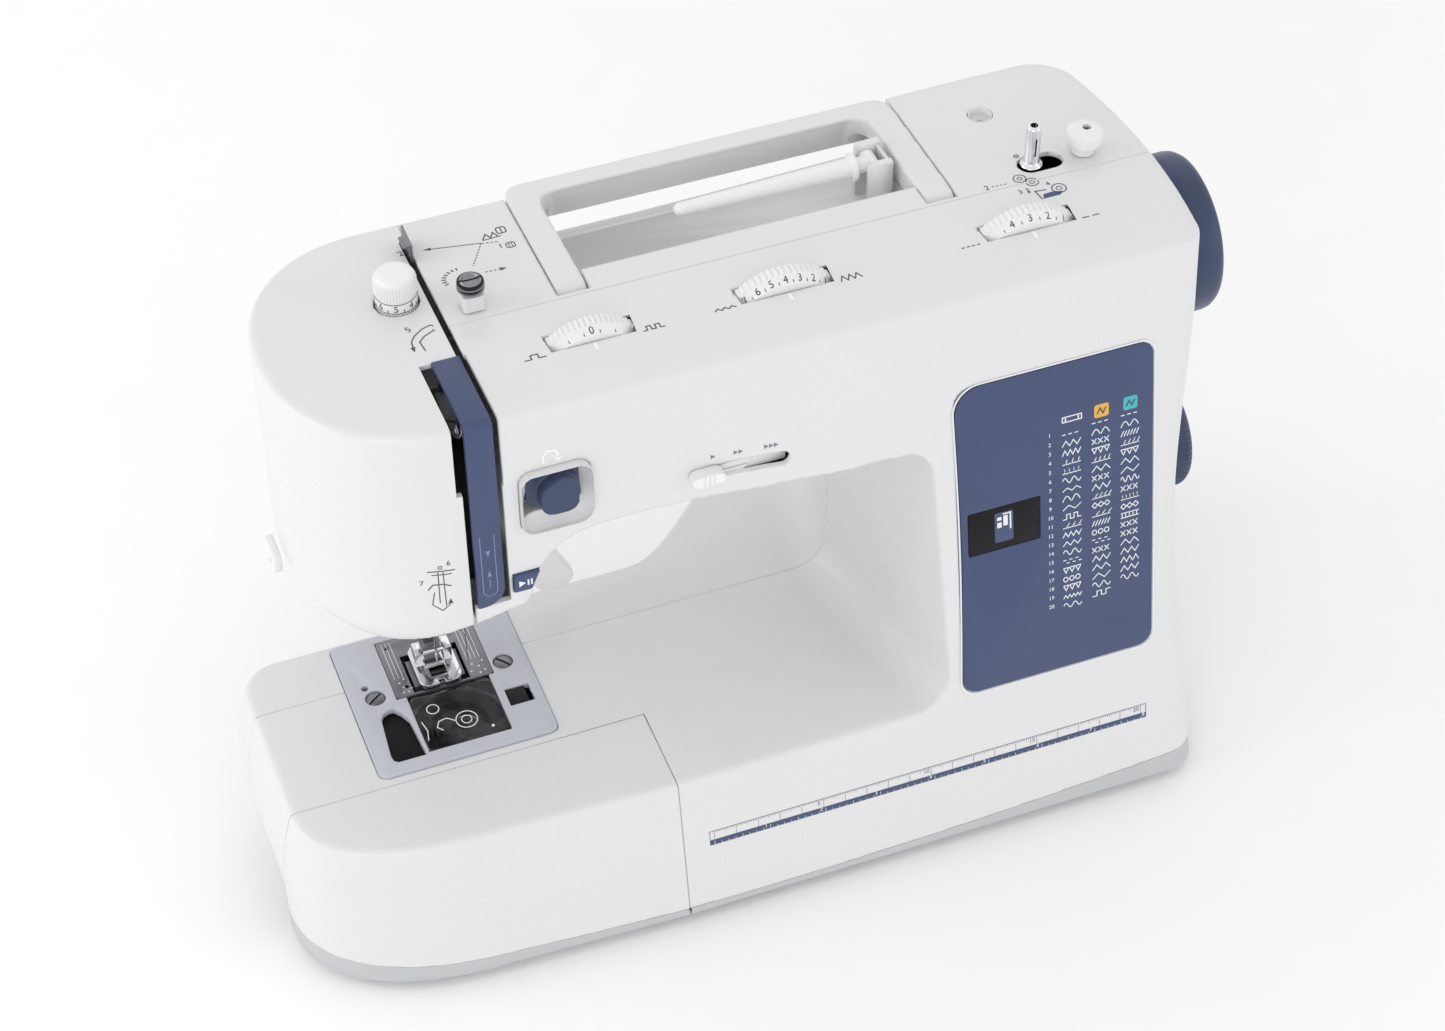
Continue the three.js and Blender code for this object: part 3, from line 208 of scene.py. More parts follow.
def turned(name, axis, centre, profile, sides=96):
    """A body turned about an axis, from (radius, place along the axis) pairs off the axis."""
    angles = [2 * math.pi * i / sides for i in range(sides)]
    rings = []
    for radius, along in profile:
        rings.append([around(axis, centre, radius, angle, along) for angle in angles])
    return loft(name, rings)


def above(base, profile):
    """A profile whose places along the axis are measured from a base."""
    return [(radius, base + along, *depth) for radius, along, *depth in profile]


def bar(name, axis, centre, radius, start, end, sides=48):
    return turned(name, axis, centre, [(radius, start), (radius, end)], sides)


def copy_of(node, name=None):
    """A welded copy of a CAD node's mesh."""
    obj = link(name or f"{node}_form", frame["nodes"][node].data.copy())
    work = bmesh.new()
    work.from_mesh(obj.data)
    bmesh.ops.remove_doubles(work, verts=work.verts, dist=0.002 * MM)
    work.to_mesh(obj.data)
    work.free()
    return obj


def softened(obj, voxel, rounds):
    """Melts a solid into an even fine mesh with rounded edges."""
    modified(obj, "REMESH", mode="VOXEL", voxel_size=voxel * MM)
    return modified(obj, "SMOOTH", factor=0.5, iterations=rounds)


def bevelled(obj, width, segments=2, angle=30):
    work = bmesh.new()
    work.from_mesh(obj.data)
    bmesh.ops.dissolve_limit(
        work, angle_limit=math.radians(0.5), verts=work.verts, edges=work.edges
    )
    work.to_mesh(obj.data)
    work.free()
    return modified(
        obj,
        "BEVEL",
        width=width * MM,
        segments=segments,
        limit_method="ANGLE",
        angle_limit=math.radians(angle),
        use_clamp_overlap=True,
    )


# ---- Materials ------------------------------------------------------------------------------
def shader(name):
    material = bpy.data.materials.new(name)
    material.use_nodes = True
    nodes = material.node_tree.nodes
    return material, nodes, material.node_tree.links, nodes["Principled BSDF"]


def object_noise(nodes, links, scale, detail=3.0, stretch=(1, 1, 1)):
    """Noise in object space; scale is in grains per metre."""
    place = nodes.new("ShaderNodeTexCoord")
    mapping = nodes.new("ShaderNodeMapping")
    mapping.inputs["Scale"].default_value = stretch
    noise = nodes.new("ShaderNodeTexNoise")
    noise.inputs["Scale"].default_value = scale
    noise.inputs["Detail"].default_value = detail
    links.new(place.outputs["Object"], mapping.inputs["Vector"])
    links.new(mapping.outputs["Vector"], noise.inputs["Vector"])
    return noise.outputs["Fac"]


def ramp(nodes, links, value, low, high, from_place=0.3, to_place=0.7):
    """Maps a value between two colours or two grey levels."""
    node = nodes.new("ShaderNodeValToRGB")
    node.color_ramp.elements[0].position = from_place
    node.color_ramp.elements[1].position = to_place
    node.color_ramp.elements[0].color = low
    node.color_ramp.elements[1].color = high
    links.new(value, node.inputs["Fac"])
    return node.outputs["Color"]


def grey(level):
    return (level, level, level, 1)


def surface(name, colour, rough, spread=0.05, tint=0.02, grain=2200, bump=0.06, metal=0.0,
            stretch=(1, 1, 1), **constants):
    """A moulded, painted or metal surface: fine grain, slow tone changes and uneven gloss."""
    material, nodes, links, base = shader(name)
    slow = object_noise(nodes, links, 28, 2.0)
    dark = tuple(c * (1 - tint) for c in colour) + (1,)
    light = tuple(min(1, c * (1 + tint)) for c in colour) + (1,)
    links.new(ramp(nodes, links, slow, dark, light), base.inputs["Base Color"])
    fine = object_noise(nodes, links, grain, 4.0, stretch)
    gloss = ramp(nodes, links, fine, grey(rough - spread), grey(rough + spread))
    links.new(gloss, base.inputs["Roughness"])
    relief = nodes.new("ShaderNodeBump")
    relief.inputs["Strength"].default_value = bump
    relief.inputs["Distance"].default_value = 0.05 * MM
    links.new(fine, relief.inputs["Height"])
    links.new(relief.outputs["Normal"], base.inputs["Normal"])
    base.inputs["Metallic"].default_value = metal
    for key, value in constants.items():
        base.inputs[key.replace("_", " ")].default_value = value
    return material


MATERIALS = {
    "casing_white": surface("casing_white", (0.735, 0.736, 0.744), 0.3, tint=0.006, grain=1800,
                            bump=0.08),
    "control_white": surface("control_white", (0.83, 0.832, 0.837), 0.3, tint=0.006, bump=0.04),
    "trim_grey": surface("trim_grey", (0.52, 0.525, 0.54), 0.42, tint=0.01, bump=0.1),
    "plate_grey": surface("plate_grey", (0.55, 0.565, 0.615), 0.34, tint=0.01, bump=0.08),
    "panel_blue": surface("panel_blue", (0.056, 0.077, 0.163), 0.36, tint=0.05, bump=0.08,
                          Specular_IOR_Level=0.35),
    "navy_plastic": surface("navy_plastic", (0.039, 0.056, 0.118), 0.34, tint=0.05, bump=0.08,
                            Specular_IOR_Level=0.4),
    "black_plastic": surface("black_plastic", (0.008, 0.008, 0.01), 0.5, bump=0.1,
                             Specular_IOR_Level=0.3),
    "foot_rubber": surface("foot_rubber", (0.02, 0.02, 0.021), 0.75, tint=0.1, bump=0.2),
    "steel": surface("steel", (0.27, 0.275, 0.295), 0.4, metal=1.0, grain=900, bump=0.05,
                     stretch=(6, 0.4, 6)),
    "chrome": surface("chrome", (0.82, 0.83, 0.85), 0.12, spread=0.04, metal=1.0, bump=0.02),
    "cast_frame": surface("cast_frame", (0.5, 0.5, 0.52), 0.5, metal=1.0, grain=700, bump=0.3),
    "belt_rubber": surface("belt_rubber", (0.015, 0.015, 0.016), 0.7, bump=0.2),
    "window_black": surface("window_black", (0.004, 0.004, 0.006), 0.3, spread=0.03, bump=0.01,
                            Specular_IOR_Level=0.25),
    "board_green": surface("board_green", (0.02, 0.13, 0.06), 0.45, tint=0.15, bump=0.1),
    "clear_cover": surface("clear_cover", (0.93, 0.95, 0.96), 0.08, spread=0.02, bump=0.01,
                           Transmission_Weight=1.0, IOR=1.3),
}
INKS = {
    "ink_grey": surface("ink_grey", (0.07, 0.075, 0.085), 0.5, bump=0.03),
    "ink_soft": surface("ink_soft", (0.2, 0.21, 0.24), 0.5, bump=0.03),
    "ink_white": surface("ink_white", (0.8, 0.82, 0.85), 0.5, bump=0.03),
    "ink_blue": surface("ink_blue", (0.056, 0.08, 0.17), 0.5, tint=0.05, bump=0.03),
    "ink_yellow": surface("ink_yellow", (0.75, 0.42, 0.06), 0.5, bump=0.03),
    "ink_cyan": surface("ink_cyan", (0.06, 0.45, 0.5), 0.5, bump=0.03),
    "ink_pale": surface("ink_pale", (0.9, 0.9, 0.905), 0.4, tint=0.004, bump=0.03),
    "ink_slate": surface("ink_slate", (0.2, 0.25, 0.41), 0.4, bump=0.03),
    "ink_plate": surface("ink_plate", (0.62, 0.64, 0.7), 0.4, bump=0.03),
    "ink_steel": surface("ink_steel", (0.78, 0.79, 0.81), 0.3, metal=1.0, bump=0.03),
}

SLOT_OF = {part["node"]: part["material_slot"] for part in frame["record"]["subparts"]}
BODIES = frame["record"]["behaviour"]["bodies"]
BODY_OF = {node: body for body, nodes in BODIES.items() for node in nodes}


def finished(obj, node, name=None, slot=None, replace=True, angle=34):
    """Names a piece, gives it its finish, and lets it stand for a CAD node."""
    obj.name = name or f"{node}_skin"
    obj.data.name = obj.name
    slot = slot or SLOT_OF[node]
    obj.data.materials.clear()
    obj.data.materials.append(MATERIALS[slot])
    obj.data.shade_smooth()
    obj.data.set_sharp_from_angle(angle=math.radians(angle))
    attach(obj, BODY_OF[node])
    if replace:
        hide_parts(node)
    return obj


def eased(node, width, segments=2, angle=35, slot=None):
    """Finishes a CAD node's own shape, with its edges bevelled."""
    return finished(bevelled(copy_of(node), width, segments, angle), node, slot=slot)


# ---- Camera, floor and light ----------------------------------------------------------------
CAMERA_PLACE = (-0.3488, -0.9171, 1.1326)  # in metres
CAMERA_TURN = (44.63, 0, -20.80)  # in degrees
CAMERA_LENS, SENSOR_WIDTH = 82.08, 36
FLOOR_SPAN, FLOOR_Z = 4000, -0.5


def make_camera():
    data = bpy.data.cameras.new("camera")
    data.lens = CAMERA_LENS
    data.sensor_width = SENSOR_WIDTH
    camera = bpy.data.objects.new("camera", data)
    bpy.context.scene.collection.objects.link(camera)
    camera.location = CAMERA_PLACE
    camera.rotation_euler = [math.radians(a) for a in CAMERA_TURN]
    bpy.context.scene.camera = camera


def make_light(name, place, aim, size, power):
    data = bpy.data.lights.new(name, "AREA")
    data.shape = "RECTANGLE"
    data.size, data.size_y = size
    data.energy = power
    light = bpy.data.objects.new(name, data)
    bpy.context.scene.collection.objects.link(light)
    light.location = place
    light.rotation_euler = (Vector(aim) - Vector(place)).to_track_quat("-Z", "Y").to_euler()


def make_stage():
    corners = [(-1, -1), (1, -1), (1, 1), (-1, 1)]
    points = [(x * FLOOR_SPAN, y * FLOOR_SPAN, FLOOR_Z) for x, y in corners]
    floor = made_of("floor", points, [(0, 1, 2, 3)])
    floor.data.materials.append(
        surface("floor_white", (0.97, 0.97, 0.972), 0.7, tint=0.004, grain=300, bump=0.02)
    )
    world = bpy.data.worlds.new("studio")
    world.use_nodes = True
    world.node_tree.nodes["Background"].inputs["Color"].default_value = (1, 1, 1, 1)
    world.node_tree.nodes["Background"].inputs["Strength"].default_value = 0.88
    bpy.context.scene.world = world
    middle = (0, 0, 0.12)
    make_light("key", (-1.3, -1.9, 1.0), middle, (1.4, 1.0), 8.5)
    make_light("side", (-1.4, 0.3, 0.75), (-0.08, -0.02, 0.08), (0.9, 0.6), 4.5)
    make_light("fill", (1.6, -1.3, 0.8), middle, (1.0, 1.0), 3.5)
    make_light("back", (0.6, 1.5, 1.6), middle, (1.4, 1.0), 1)
    bpy.context.scene.view_settings.view_transform = "Standard"


# ---- The outer form -------------------------------------------------------------------------
def smoothstep(value, low, high):
    t = min(max((value - low) / (high - low), 0), 1)
    return t * t * (3 - 2 * t)


def lean(x):
    return HEAD_LEAN + (COLUMN_LEAN - HEAD_LEAN) * smoothstep(x, LEAN_FROM, LEAN_TO)


def front_y(x, z):
    return TOP_EDGE_Y + (z - TOP_Z) * lean(x)


def bed_front_y(z):
    return TOP_EDGE_Y + (z - TOP_Z) * COLUMN_LEAN


def back_y(x):
    return BACK_Y_LEFT + (BACK_Y_RIGHT - BACK_Y_LEFT) * smoothstep(x, -20, 150)


def right_x(y, z):
    """The right end bows outwards along its depth and is drawn in at mid height."""
    half = (BACK_Y_RIGHT - bed_front_y(z)) / 2
    middle = (BACK_Y_RIGHT + bed_front_y(z)) / 2
    bow = RIGHT_BOW * ((y - middle + 6) / half) ** 2
    return RIGHT_X - bow - RIGHT_WAIST * math.sin(math.pi * z / TOP_Z) ** 2


def plan_ring(z, inset):
    """Plan outline of the head, arm and column at one height."""
    depth = min(max(HEAD_FOOT_Z - z, 0), HEAD_FOOT_RADIUS)
    chord = math.sqrt(max(HEAD_FOOT_RADIUS ** 2 - depth * depth, 1))
    turn = HEAD_FOOT_RADIUS - chord if depth > 0 else 0

    def tuck(x):
        return inset + 0.7 * turn * (1 - smoothstep(x, -100, -70))

    def front(x):
        return front_y(x, z) + tuck(x)

    def back(x):
        return back_y(x) - tuck(x)

    front_radius = 14 - inset
    back_radius = 17 - inset
    side_from = front(RIGHT_X - 20) + front_radius
    front_stop = right_x(side_from, z) - inset - front_radius
    outline = [(x, front(x)) for x in np.linspace(HEAD_CENTRE_X, front_stop, 64)]
    for angle in np.radians(np.linspace(0, 90, 16))[1:-1]:
        y = side_from - front_radius * math.cos(angle)
        outline.append((front_stop + front_radius * math.sin(angle), y))
    side_to = back(front_stop + front_radius) - back_radius
    outline += [(right_x(y, z) - inset, y) for y in np.linspace(side_from, side_to, 30)]
    for angle in np.radians(np.linspace(0, 90, 16))[1:-1]:
        y = side_to + back_radius * math.sin(angle)
        outline.append((right_x(y, z) - inset - back_radius * (1 - math.cos(angle)), y))
    back_stop = right_x(side_to, z) - inset - back_radius
    outline += [(x, back(x)) for x in np.linspace(back_stop, HEAD_CENTRE_X, 64)]
    middle = (front(HEAD_CENTRE_X) + back(HEAD_CENTRE_X)) / 2
    half = (back(HEAD_CENTRE_X) - front(HEAD_CENTRE_X)) / 2
    length = HEAD_LENGTH - tuck(HEAD_CENTRE_X)
    power = 2 / HEAD_POWER
    for angle in np.linspace(0, math.pi, 90)[1:-1]:
        side = math.cos(angle)
        x = HEAD_CENTRE_X - length * math.sin(angle) ** power
        outline.append((x, middle + half * math.copysign(abs(side) ** power, side)))
    return outline


def upper_form(inset, bottom):
    """Head, arm and column in one piece down to the base, before the throat is taken out."""
    levels = [(bottom, inset)]
    levels += [(z, inset) for z in (40, 80, 120, *np.linspace(152, 172, 14), 190, 210, 235)]
    radius = TOP_RADIUS - inset * 0.6
    for angle in np.radians(np.linspace(0, 90, 14)):
        z = TOP_Z - inset - radius + radius * math.sin(angle)
        levels.append((z, inset + radius * (1 - math.cos(angle))))
    rings = []
    for z, edge in levels:
        tilt = TOP_SLOPE * smoothstep(z, 170, TOP_Z - 20)
        rings.append([(x, y, z - tilt * (y - TOP_EDGE_Y)) for x, y in plan_ring(z, edge)])
    return loft("upper", rings)


def throat_form(grow):
    """The space left of the column and under the arm and the head."""
    rings = []
    for y in (-BEYOND_Y, SEAM_Y, BEYOND_Y):
        wall = THROAT_X + THROAT_DRAFT * abs(y - SEAM_Y) + grow
        top = THROAT_TOP_Z + grow
        low = BED_Z - grow
        corner = wall - THROAT_RADIUS
        outline = [
            (BEYOND_X, BELOW_Z),
            (corner, BELOW_Z),
            (corner, low),
            *arc(corner, low + THROAT_RADIUS, THROAT_RADIUS, -90, 0, 20)[1:],
            *arc(wall - THROAT_TOP_RADIUS, top - THROAT_TOP_RADIUS, THROAT_TOP_RADIUS, 0, 90, 16),
            *arc(ARCH_X, top - grow - ARCH_DROP, ARCH_RADIUS + grow, 90, 174, 24),
            (-102, HEAD_FOOT_Z + grow),
            (BEYOND_X, 133 + grow),
        ]
        rings.append([(x, y, z) for x, z in outline])
    return loft("throat", rings)


def left_end_x(z):
    """The left ends of the free arm and of the accessory box are flush and flare out downwards."""
    up = min(max((z - ARM_BOTTOM_Z) / (BED_Z - ARM_BOTTOM_Z), 0), 1)
    return ARM_LEFT_X - ARM_FLARE * (1 - up ** 2)


def edge_levels(bottom, top, steps=12):
    """Heights up a wall with a rounded top edge, each with how far the edge has turned in."""
    levels = [(z, 0) for z in np.linspace(bottom, top - EDGE, steps)]
    for angle in np.radians([22, 45, 68, 90]):
        levels.append((top - EDGE * (1 - math.sin(angle)), EDGE * (1 - math.cos(angle))))
    return levels


def free_arm_form(inset, bottom):
    """Free arm. Its front face lies beyond the CAD one, so that the seam stays a thin line."""
    rings = []
    for z, edge in edge_levels(bottom, BED_Z - inset):
        x0 = left_end_x(z) + inset + edge
        y0 = ARM_FRONT_Y - OVERSIZE
        y1 = ARM_BACK_Y - inset - edge
        radius = 16 - inset
        outline = [(-40, y0), (-40, y1), *arc(x0 + radius, y1 - radius, radius, 90, 180, 16), (x0, y0)]
        rings.append([(x, y, z) for x, y in outline])
    return loft("free_arm", rings)


def bed_form(inset, bottom, oversize=0):
    """Bed and base in front of and below the throat, with its back curving out to the column."""
    rings = []
    for z, edge in edge_levels(bottom, BED_Z - inset, 3):
        i = inset + edge

        def back(x):
            return ARM_BACK_Y + (BACK_Y_LEFT - ARM_BACK_Y) * smoothstep(x, -30, 40) - i

        x0 = BED_LEFT_X + inset - oversize
        front = bed_front_y(z) + i
        outline = [(x0, front), (68, front)]
        outline += [(x, back(x)) for x in np.linspace(68, x0, 40)]
        rings.append([(x, y, z) for x, y in outline])
    return loft("bed", rings)


def accessory_form(inset, bottom, oversize=0):
    """The box in front of the free arm, with one large rounded corner."""
    rings = []
    for z, edge in edge_levels(bottom, BED_Z - inset):
        i = inset + edge
        down = (BED_Z - z) / BOX_HEIGHT
        long = BOX_CORNER_X - left_end_x(z) - i
        deep = BOX_DEPTH + BOX_FLARE * down - i
        outline = []
        for angle in np.linspace(0, math.pi / 2, 48):
            u = max(math.cos(angle), 0) ** (2 / BOX_POWER)
            v = math.sin(angle) ** (2 / BOX_POWER)
            outline.append((BOX_CORNER_X - long * u, BOX_CORNER_Y - deep * v))
        right = BED_LEFT_X - 0.4 - inset + oversize
        back = ARM_FRONT_Y - 0.4 + oversize
        outline += [(right, bed_front_y(z) - 0.2 + i), (right, back), (BOX_CORNER_X - long, back)]
        rings.append([(x, y, z) for x, y in outline])
    return loft("accessory", rings)


def body_form(inset):
    body = cut(upper_form(inset, 2), throat_form(inset))
    return joined(body, bed_form(inset, 2, OVERSIZE), free_arm_form(inset, ARM_BOTTOM_Z))


# ---- Covers ---------------------------------------------------------------------------------
def make_covers():
    skin = softened(body_form(SKIN), 1.1, 6)
    # The ears of the spool pin stand above the skin.
    low, high = mm_box("spool_pin")
    joined(skin, box("ears", high.x - 9, high.x + 5, low.y - 4, high.y + 4, 240, 275))
    covers = {}
    for node in ("front_cover", "rear_cover", "face_cover"):
        covers[node] = finished(common(copy_of(node), skin, keep=True), node)
    bpy.data.objects.remove(skin)
    box_skin = softened(accessory_form(SKIN, 2, OVERSIZE), 1.0, 6)
    covers["accessory_box"] = finished(common(copy_of("accessory_box"), box_skin), "accessory_box")
    for node in ("base_tray", "accessory_box_base"):
        eased(node, 0.5, angle=40)
    return covers


def mm_box(node):
    """Lowest and highest corners of a CAD node, in millimetres."""
    return [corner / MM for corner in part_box(node)]


def middle_of(low, high, across="xy"):
    """The middle of a box in the two directions across an axis."""
    return tuple((getattr(low, way) + getattr(high, way)) / 2 for way in across)


def top_z(y):
    return TOP_Z - TOP_SLOPE * (y - TOP_EDGE_Y)


# ---- Printing and engraving -----------------------------------------------------------------
def evenly(line, closed, step=1.2):
    """The line with extra points, so that it follows a curved surface."""
    points = []
    for i, point in enumerate(line):
        points.append(point)
        if i + 1 < len(line) or closed:
            after = line[(i + 1) % len(line)]
            pieces = math.ceil((after - point).length / step)
            points += [point.lerp(after, k / pieces) for k in range(1, pieces)]
    return points


class Ink:
    """Thin solid marks drawn on a flat sheet (u, v), then laid on a surface."""

    def __init__(self):
        self.points = []
        self.faces = []

    def slab(self, left, right, closed=False, thick=0.05):
        """A closed band between two lines of points."""
        start = len(self.points)
        for a, b in zip(left, right):
            self.points += [(*a, thick), (*b, thick), (*b, -thick), (*a, -thick)]
        count = len(left)
        for i in range(count if closed else count - 1):
            p = start + 4 * i
            q = start + 4 * ((i + 1) % count)
            for k in range(4):
                j = (k + 1) % 4
                self.faces.append((p + k, q + k, q + j, p + j))
        if not closed:
            self.faces.append((start, start + 3, start + 2, start + 1)[::-1])
            end = start + 4 * (count - 1)
            self.faces.append((end, end + 1, end + 2, end + 3)[::-1])

    def stroke(self, line, width=0.35, closed=False):
        line = evenly([Vector(p) for p in line], closed)
        count = len(line)
        left, right = [], []
        for i, point in enumerate(line):
            before = line[i - 1] if i or closed else None
            after = line[(i + 1) % count] if i + 1 < count or closed else None
            into = (point - before).normalized() if before is not None else None
            out = (after - point).normalized() if after is not None else None
            into = into if into is not None else out
            out = out if out is not None else into
            along = into + out
            along = along.normalized() if along.length > 0.2 else out
            side = Vector((-along.y, along.x))
            reach = width / 2 / max(abs(side.dot(Vector((-out.y, out.x)))), 0.5)
            left.append(tuple(point + side * reach))
            right.append(tuple(point - side * reach))
        self.slab(left, right, closed)

    def area(self, outline, thick=0.05):
        start = len(self.points)
        count = len(outline)
        for w in (thick, -thick):
            self.points += [(u, v, w) for u, v in outline]
        self.faces.append(tuple(range(start, start + count)))
        self.faces.append(tuple(range(start + count, start + 2 * count))[::-1])
        for i in range(count):
            j = (i + 1) % count
            self.faces.append((start + i, start + count + i, start + count + j, start + j))

    def ring(self, u, v, radius, width=0.35, start=0, end=360, steps=28):
        whole = end - start >= 360
        line = arc(u, v, radius, start, end, steps)
        self.stroke(line[:-1] if whole else line, width, closed=whole)

    def disc(self, u, v, radius, steps=24):
        self.area(arc(u, v, radius, 0, 360, steps)[:-1])

    def number(self, text, u, v, height, turn=0, align="CENTER"):
        """Plain numerals, centred on (u, v)."""
        curve = bpy.data.curves.new("numeral", "FONT")
        curve.body = str(text)
        curve.size = height * 1.38
        curve.align_x = align
        curve.align_y = "CENTER"
        curve.extrude = 0.05
        curve.resolution_u = 3
        obj = link("numeral", curve)
        graph = bpy.context.evaluated_depsgraph_get()
        mesh = bpy.data.meshes.new_from_object(obj.evaluated_get(graph))
        bpy.data.objects.remove(obj)
        start = len(self.points)
        c, s = math.cos(math.radians(turn)), math.sin(math.radians(turn))
        for vertex in mesh.vertices:
            x, y, z = vertex.co
            self.points.append((u + c * x - s * y, v + s * x + c * y, z))
        self.faces += [tuple(start + i for i in face.vertices) for face in mesh.polygons]

    def laid(self, name, place, material, slot, body):
        obj = made_of(name, [place(*p) for p in self.points], self.faces)
        work = bmesh.new()
        work.from_mesh(obj.data)
        bmesh.ops.remove_doubles(work, verts=work.verts, dist=0.001 * MM)
        bmesh.ops.recalc_face_normals(work, faces=work.faces)
        work.to_mesh(obj.data)
        work.free()
        obj.data.materials.append(material)
        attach(obj, body)
        return obj


def seen_surface(objects):
    """A search tree over the pieces that marks are printed on."""
    points, faces = [], []
    for obj in objects:
        start = len(points)
        points += [obj.matrix_world @ v.co for v in obj.data.vertices]
        faces += [tuple(start + i for i in p.vertices) for p in obj.data.polygons]
    return BVHTree.FromPolygons(points, faces)


def printed_from(tree, view, rise=0.05, fallback=0.0):
    """A place function: drops (u, v) on the surface along -Z ("top") or +Y ("front")."""
    def place(u, v, w):
        if view == "top":
            start, way = Vector((u, v, 400)), Vector((0, 0, -1))
        else:
            start, way = Vector((u, -300, v)), Vector((0, 1, 0))
        hit = tree.ray_cast(start * MM, way)[0]
        if hit is None:
            hit = (Vector((u, v, fallback)) if view == "top" else Vector((u, fallback, v))) * MM
        return hit / MM - way * (w + rise)
    return place


# ---- Dials and knobs ------------------------------------------------------------------------
def knurled(name, axis, centre, rows, ribs, samples=4):
    """A body turned about an axis whose rows are (radius, place, rib depth)."""
    rings = []
    count = ribs * samples
    for radius, along, depth in rows:
        ring = []
        for i in range(count):
            reach = radius - (depth if i % samples >= samples // 2 else 0)
            ring.append(around(axis, centre, reach, 2 * math.pi * i / count, along))
        rings.append(ring)
    return loft(name, rings)


# The digits of each dial, the one that stands at the mark, and the angle between two of them.
DIAL_MARKS = {
    "balance_dial": ("0", 0, 16),
    "stitch_width_dial": ("0123456789", 4, 13),
    "stitch_length_dial": ("01234", 3, 17),
}


def make_dials():
    for node, (digits, shown, degrees) in DIAL_MARKS.items():
        low, high = mm_box(node)
        radius = (high.x - low.x) / 2
        centre = middle_of(low, high, "xz")
        y0, y1 = low.y, high.y
        band = 3.6
        rows = [
            (radius - 7, y0, 0),
            (radius - 3.2, y0, 0),
            (radius - 2.9, y0 + 0.2, 0),
            (radius - 1.2, y0 + band - 0.2, 0),
            (radius - 0.9, y0 + band, 0),
            (radius - 0.4, y0 + band + 0.2, 0.3),
            (radius, y0 + band + 0.7, 0.8),
            (radius, y1 - 0.6, 0.8),
            (radius - 0.6, y1, 0.4),
            (radius - 7, y1, 0),
        ]
        finished(knurled(node, "y", centre, rows, 72), node)
        ink = Ink()
        pitch = math.radians(degrees) * (radius - 2)
        for digit in digits:
            ink.number(digit, (shown - int(digit)) * pitch, band * 0.52, 3.1)
        for i in range(-5, 5):
            ink.stroke([((i + 0.5) * pitch, 0.4), ((i + 0.5) * pitch, 1.6)], 0.3)

        def place(u, v, w):
            angle = math.pi / 2 - u / (radius - 2)
            r = radius - 2.9 + 1.7 * (v / band) + w + 0.06
            return around("y", centre, r, angle, y0 + v)

        ink.laid(f"{node}_numbers", place, INKS["ink_grey"], "black_plastic", BODY_OF[node])


def make_tension_dial():
    low, high = mm_box("tension_dial")
    centre = middle_of(low, high)
    radius = 8.5
    seat = top_z(centre[1])
    top = high.z
    rows = [
        (4, low.z, 0), (4, low.z + 9, 0), (8.2, low.z + 9.2, 0), (radius, low.z + 9.8, 0),
        (radius, seat + 5.6, 0), (8.1, seat + 5.7, 0), (8.1, seat + 6.3, 0), (8.8, seat + 6.5, 0.2),
        (8.9, seat + 7, 0.45), (8.7, top - 2.6, 0.45), (8.1, top - 1.2, 0.3), (7, top - 0.4, 0),
        (5, top - 0.1, 0), (2, top, 0),
    ]
    finished(knurled("tension_dial", "z", centre, rows, 44), "tension_dial")
    ink = Ink()
    for i in range(8):
        along = (i - 3.6) * 6.6
        ink.number(8 - i, along + 1.6, 2.8, 3.1)
        ink.stroke([(along - 1.7, 0.9), (along - 1.7, 2.4)], 0.35)
    ink.stroke([(-26, 5.1), (26, 5.1)], 0.35)
    ink.stroke([(-26, 0.7), (26, 0.7)], 0.3)

    def place(u, v, w):
        return around("z", centre, radius + w + 0.06, u / radius - math.pi / 2, seat + v)

    ink.laid("tension_dial_numbers", place, INKS["ink_grey"], "black_plastic", "tension_dial")


def make_thread_guides():
    low, high = mm_box("pretension_guide")
    x, y = middle_of(low, high)
    seat = top_z(y) + 0.35
    post = softened(
        joined(
            prism("post", "xy", rounded_rectangle(x - 4.6, x + 4.6, y - 4.8, y + 4.8, 1.6),
                  seat, seat + 7.4),
            bar("foot", "z", (x, y), 2.2, seat - 7, seat + 0.5),
        ), 0.35, 4,
    )
    finished(post, "pretension_guide", "pretension_post", "casing_white", replace=False)
    discs = turned("pretension_guide", "z", (x, y), above(seat, [
        (1.8, 7.6), (3.4, 7.6), (3.5, 7.9), (2.2, 8.2), (2.2, 8.6), (5.2, 8.8), (5.6, 9.2),
        (5.6, 9.6), (5.2, 9.8), (2.6, 10.1), (2.6, 10.5), (5.2, 10.8), (5.6, 11.2), (5.5, 11.6),
        (4.9, 11.9), (4.6, 12.1), (4.5, 13.2), (4.1, 13.6), (3.4, 13.7), (3, 13.2), (1.5, 13.1),
    ]))
    cut(discs, box("slot", x - 6, x + 6, y - 0.5, y + 0.5, seat + 12.4, seat + 16))
    finished(discs, "pretension_guide", slot="steel")
    collar = turned("collar", "z", (x, y), above(seat, [
        (4.7, 12.0), (5.35, 12.0), (5.35, 12.7), (4.7, 12.9),
    ]))
    finished(collar, "pretension_guide", "pretension_washer", "black_plastic", replace=False)
    eased("upper_thread_guide", 0.15, angle=30, slot="steel")


def make_spool_cup():
    seat = top_z(SPOOL_HOLE[1])
    cup = turned("cup", "z", SPOOL_HOLE, above(seat, [
        (1.5, -7), (5.1, -6.6), (5.1, -0.5), (4.7, -0.5), (4.3, -3.6), (1.6, -4.4), (1.5, -5),
    ]), 64)
    finished(cup, "rear_cover", "spool_pin_cup", replace=False)


